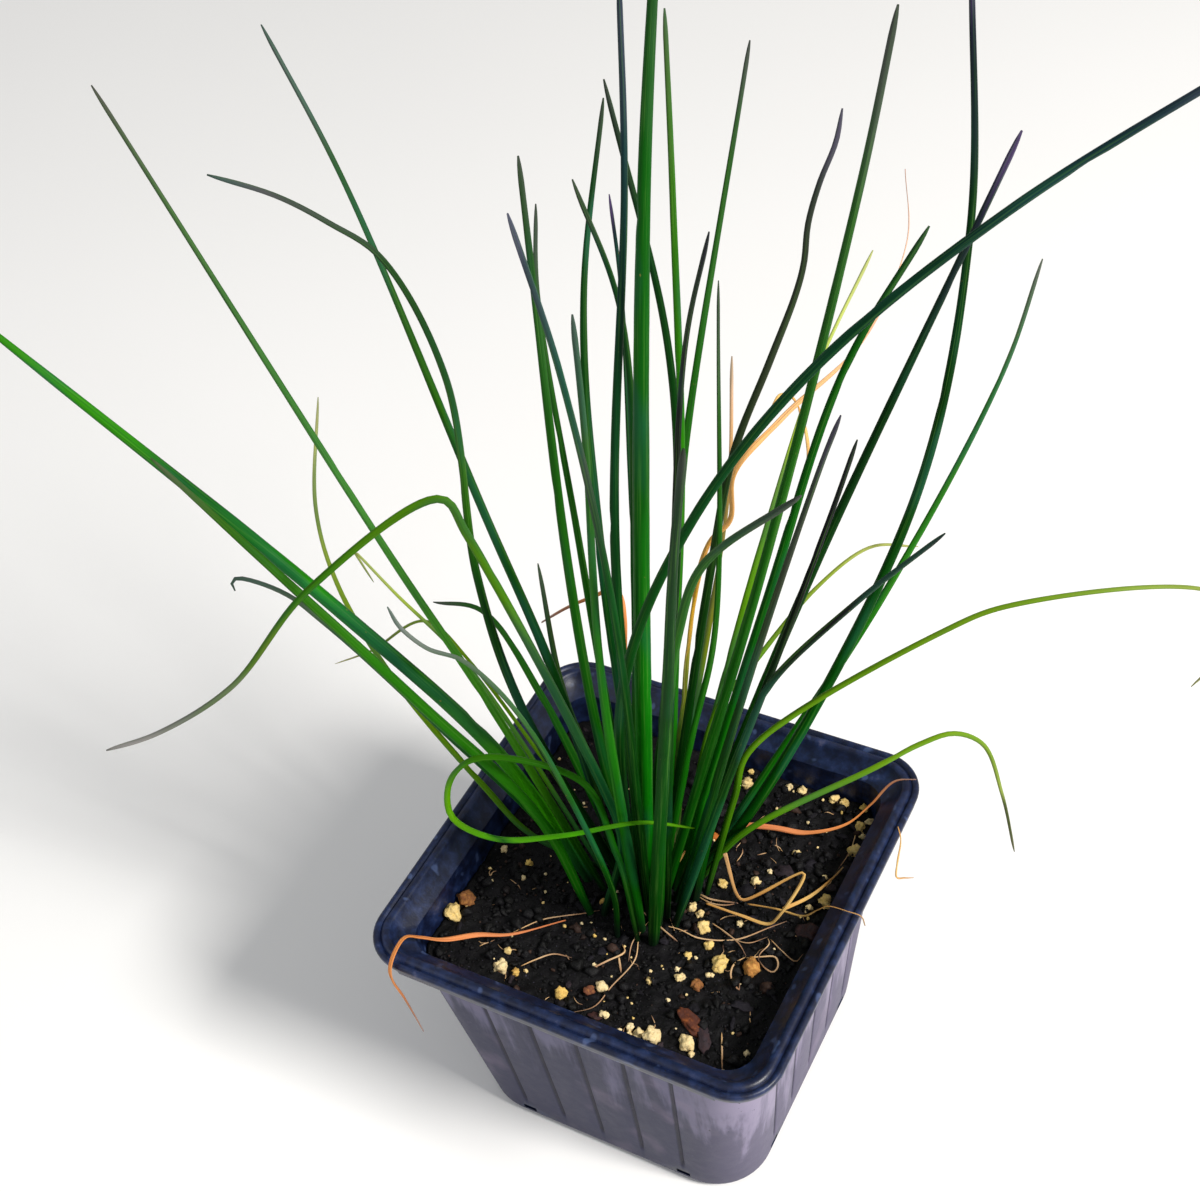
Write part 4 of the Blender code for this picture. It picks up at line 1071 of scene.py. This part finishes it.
def makeRoots(material):
    routes = []
    for number, (width, *pixels) in enumerate(roots):
        route = []
        for i, (x, y) in enumerate(pixels):
            high = rootSet["arch"] * sin(pi * i / (len(pixels) - 1))
            place = onSoil(x, y, rootSet["lift"] + high)
            spot = Vector((x / 9, y / 9, number))
            shift = Vector((noise.noise(spot), noise.noise(spot + Vector((0, 0, 40))), 0))
            route.append(place + shift * rootSet["wander"])
        routes.append((width, route))
    makeThreads("fine_roots", routes, material)
    chance = random.Random(rootSet["seed"])
    fibres = []
    for _ in range(rootSet["fibres"]):
        x, y = anywhere(chance, soilEdge(rootSet["gap"]))
        way = chance.uniform(0, 2 * pi)
        step = chance.uniform(*rootSet["fibreSteps"])
        fibre = []
        for _ in range(4):
            fibre.append(Vector((x, y, soilHeight(x, y) + 0.2)))
            way += chance.uniform(-0.7, 0.7)
            x, y = x + step * cos(way), y + step * sin(way)
        fibres.append((chance.uniform(*rootSet["fibreWidths"]), fibre))
    makeThreads("soil_fibres", fibres, material)


# A pale floor and soft light; each light has its place, its side in m, its power and its colour

studioSet = {
    "floorSide": 6.0, "sky": 0.42, "aim": (0, 0, 0.1),
    "key": ((1.0, -0.1, 0.95), 0.3, 23.0, (1.0, 0.97, 0.92)),
    "fill": ((-0.7, -0.7, 0.7), 0.8, 2.0, (0.92, 0.96, 1.0)),
}


def addLight(name):
    place, side, power, colour = studioSet[name]
    light = bpy.data.lights.new(name, "AREA")
    light.shape = "SQUARE"
    light.size = side
    light.energy = power
    light.color = colour
    lamp = bpy.data.objects.new(name, light)
    lamp.location = place
    lamp.rotation_euler = (Vector(place) - Vector(studioSet["aim"])).to_track_quat("Z", "Y").to_euler()
    bpy.context.scene.collection.objects.link(lamp)


def makeStudio():
    half = studioSet["floorSide"] / 2
    mesh = bpy.data.meshes.new("floor")
    corners = [(-half, -half, 0), (half, -half, 0), (half, half, 0), (-half, half, 0)]
    mesh.from_pydata(corners, [], [(0, 1, 2, 3)])
    floor = bpy.data.objects.new("floor", mesh)
    bpy.context.scene.collection.objects.link(floor)
    material, place = startMaterial("pale_floor")
    colour = blendColours(spots(place, 0.004, 2.0), tone(95, 95, 95), tone(97, 97, 97))
    finishMaterial(material, colour, 0.9, 0.1)
    mesh.materials.append(material)
    world = bpy.data.worlds.new("studio")
    world.use_nodes = True
    sky = world.node_tree.nodes["Background"].inputs
    sky["Color"].default_value = (1.0, 1.0, 1.0, 1.0)
    sky["Strength"].default_value = studioSet["sky"]
    bpy.context.scene.world = world
    addLight("key")
    addLight("fill")
    bpy.context.scene.view_settings.view_transform = "Standard"


placeCamera()
makeStudio()
print("studio ready")

makePot(potMaterial())
print("pot ready")

makeSoil(soilMaterial())
makeCrumbs(crumbMaterial())
makePerlite(perliteMaterial())
makeBark(barkMaterial())
print("soil ready")

leafMaterials = {name: leafMaterial(name, stops) for name, stops in leafPalettes.items()}
for number, (name, (palette, width, foot, *through)) in enumerate(leaves.items()):
    makeLeaf(name, width, foot, through, leafMaterials[palette], number)
print("leaves ready")

dryMaterials = {name: dryMaterial(name, stops) for name, stops in dryPalettes.items()}
for number, (name, (kind, width, rooted, *route)) in enumerate(dryPieces.items()):
    makeDry(name, width, rooted, route, dryMaterials[kind], number)
makeRoots(dryMaterials["root"])
for name, (width, *route) in straws.items():
    makeThreads(name, [(width, route)], dryMaterials["straw"])
print("dry leaves ready")
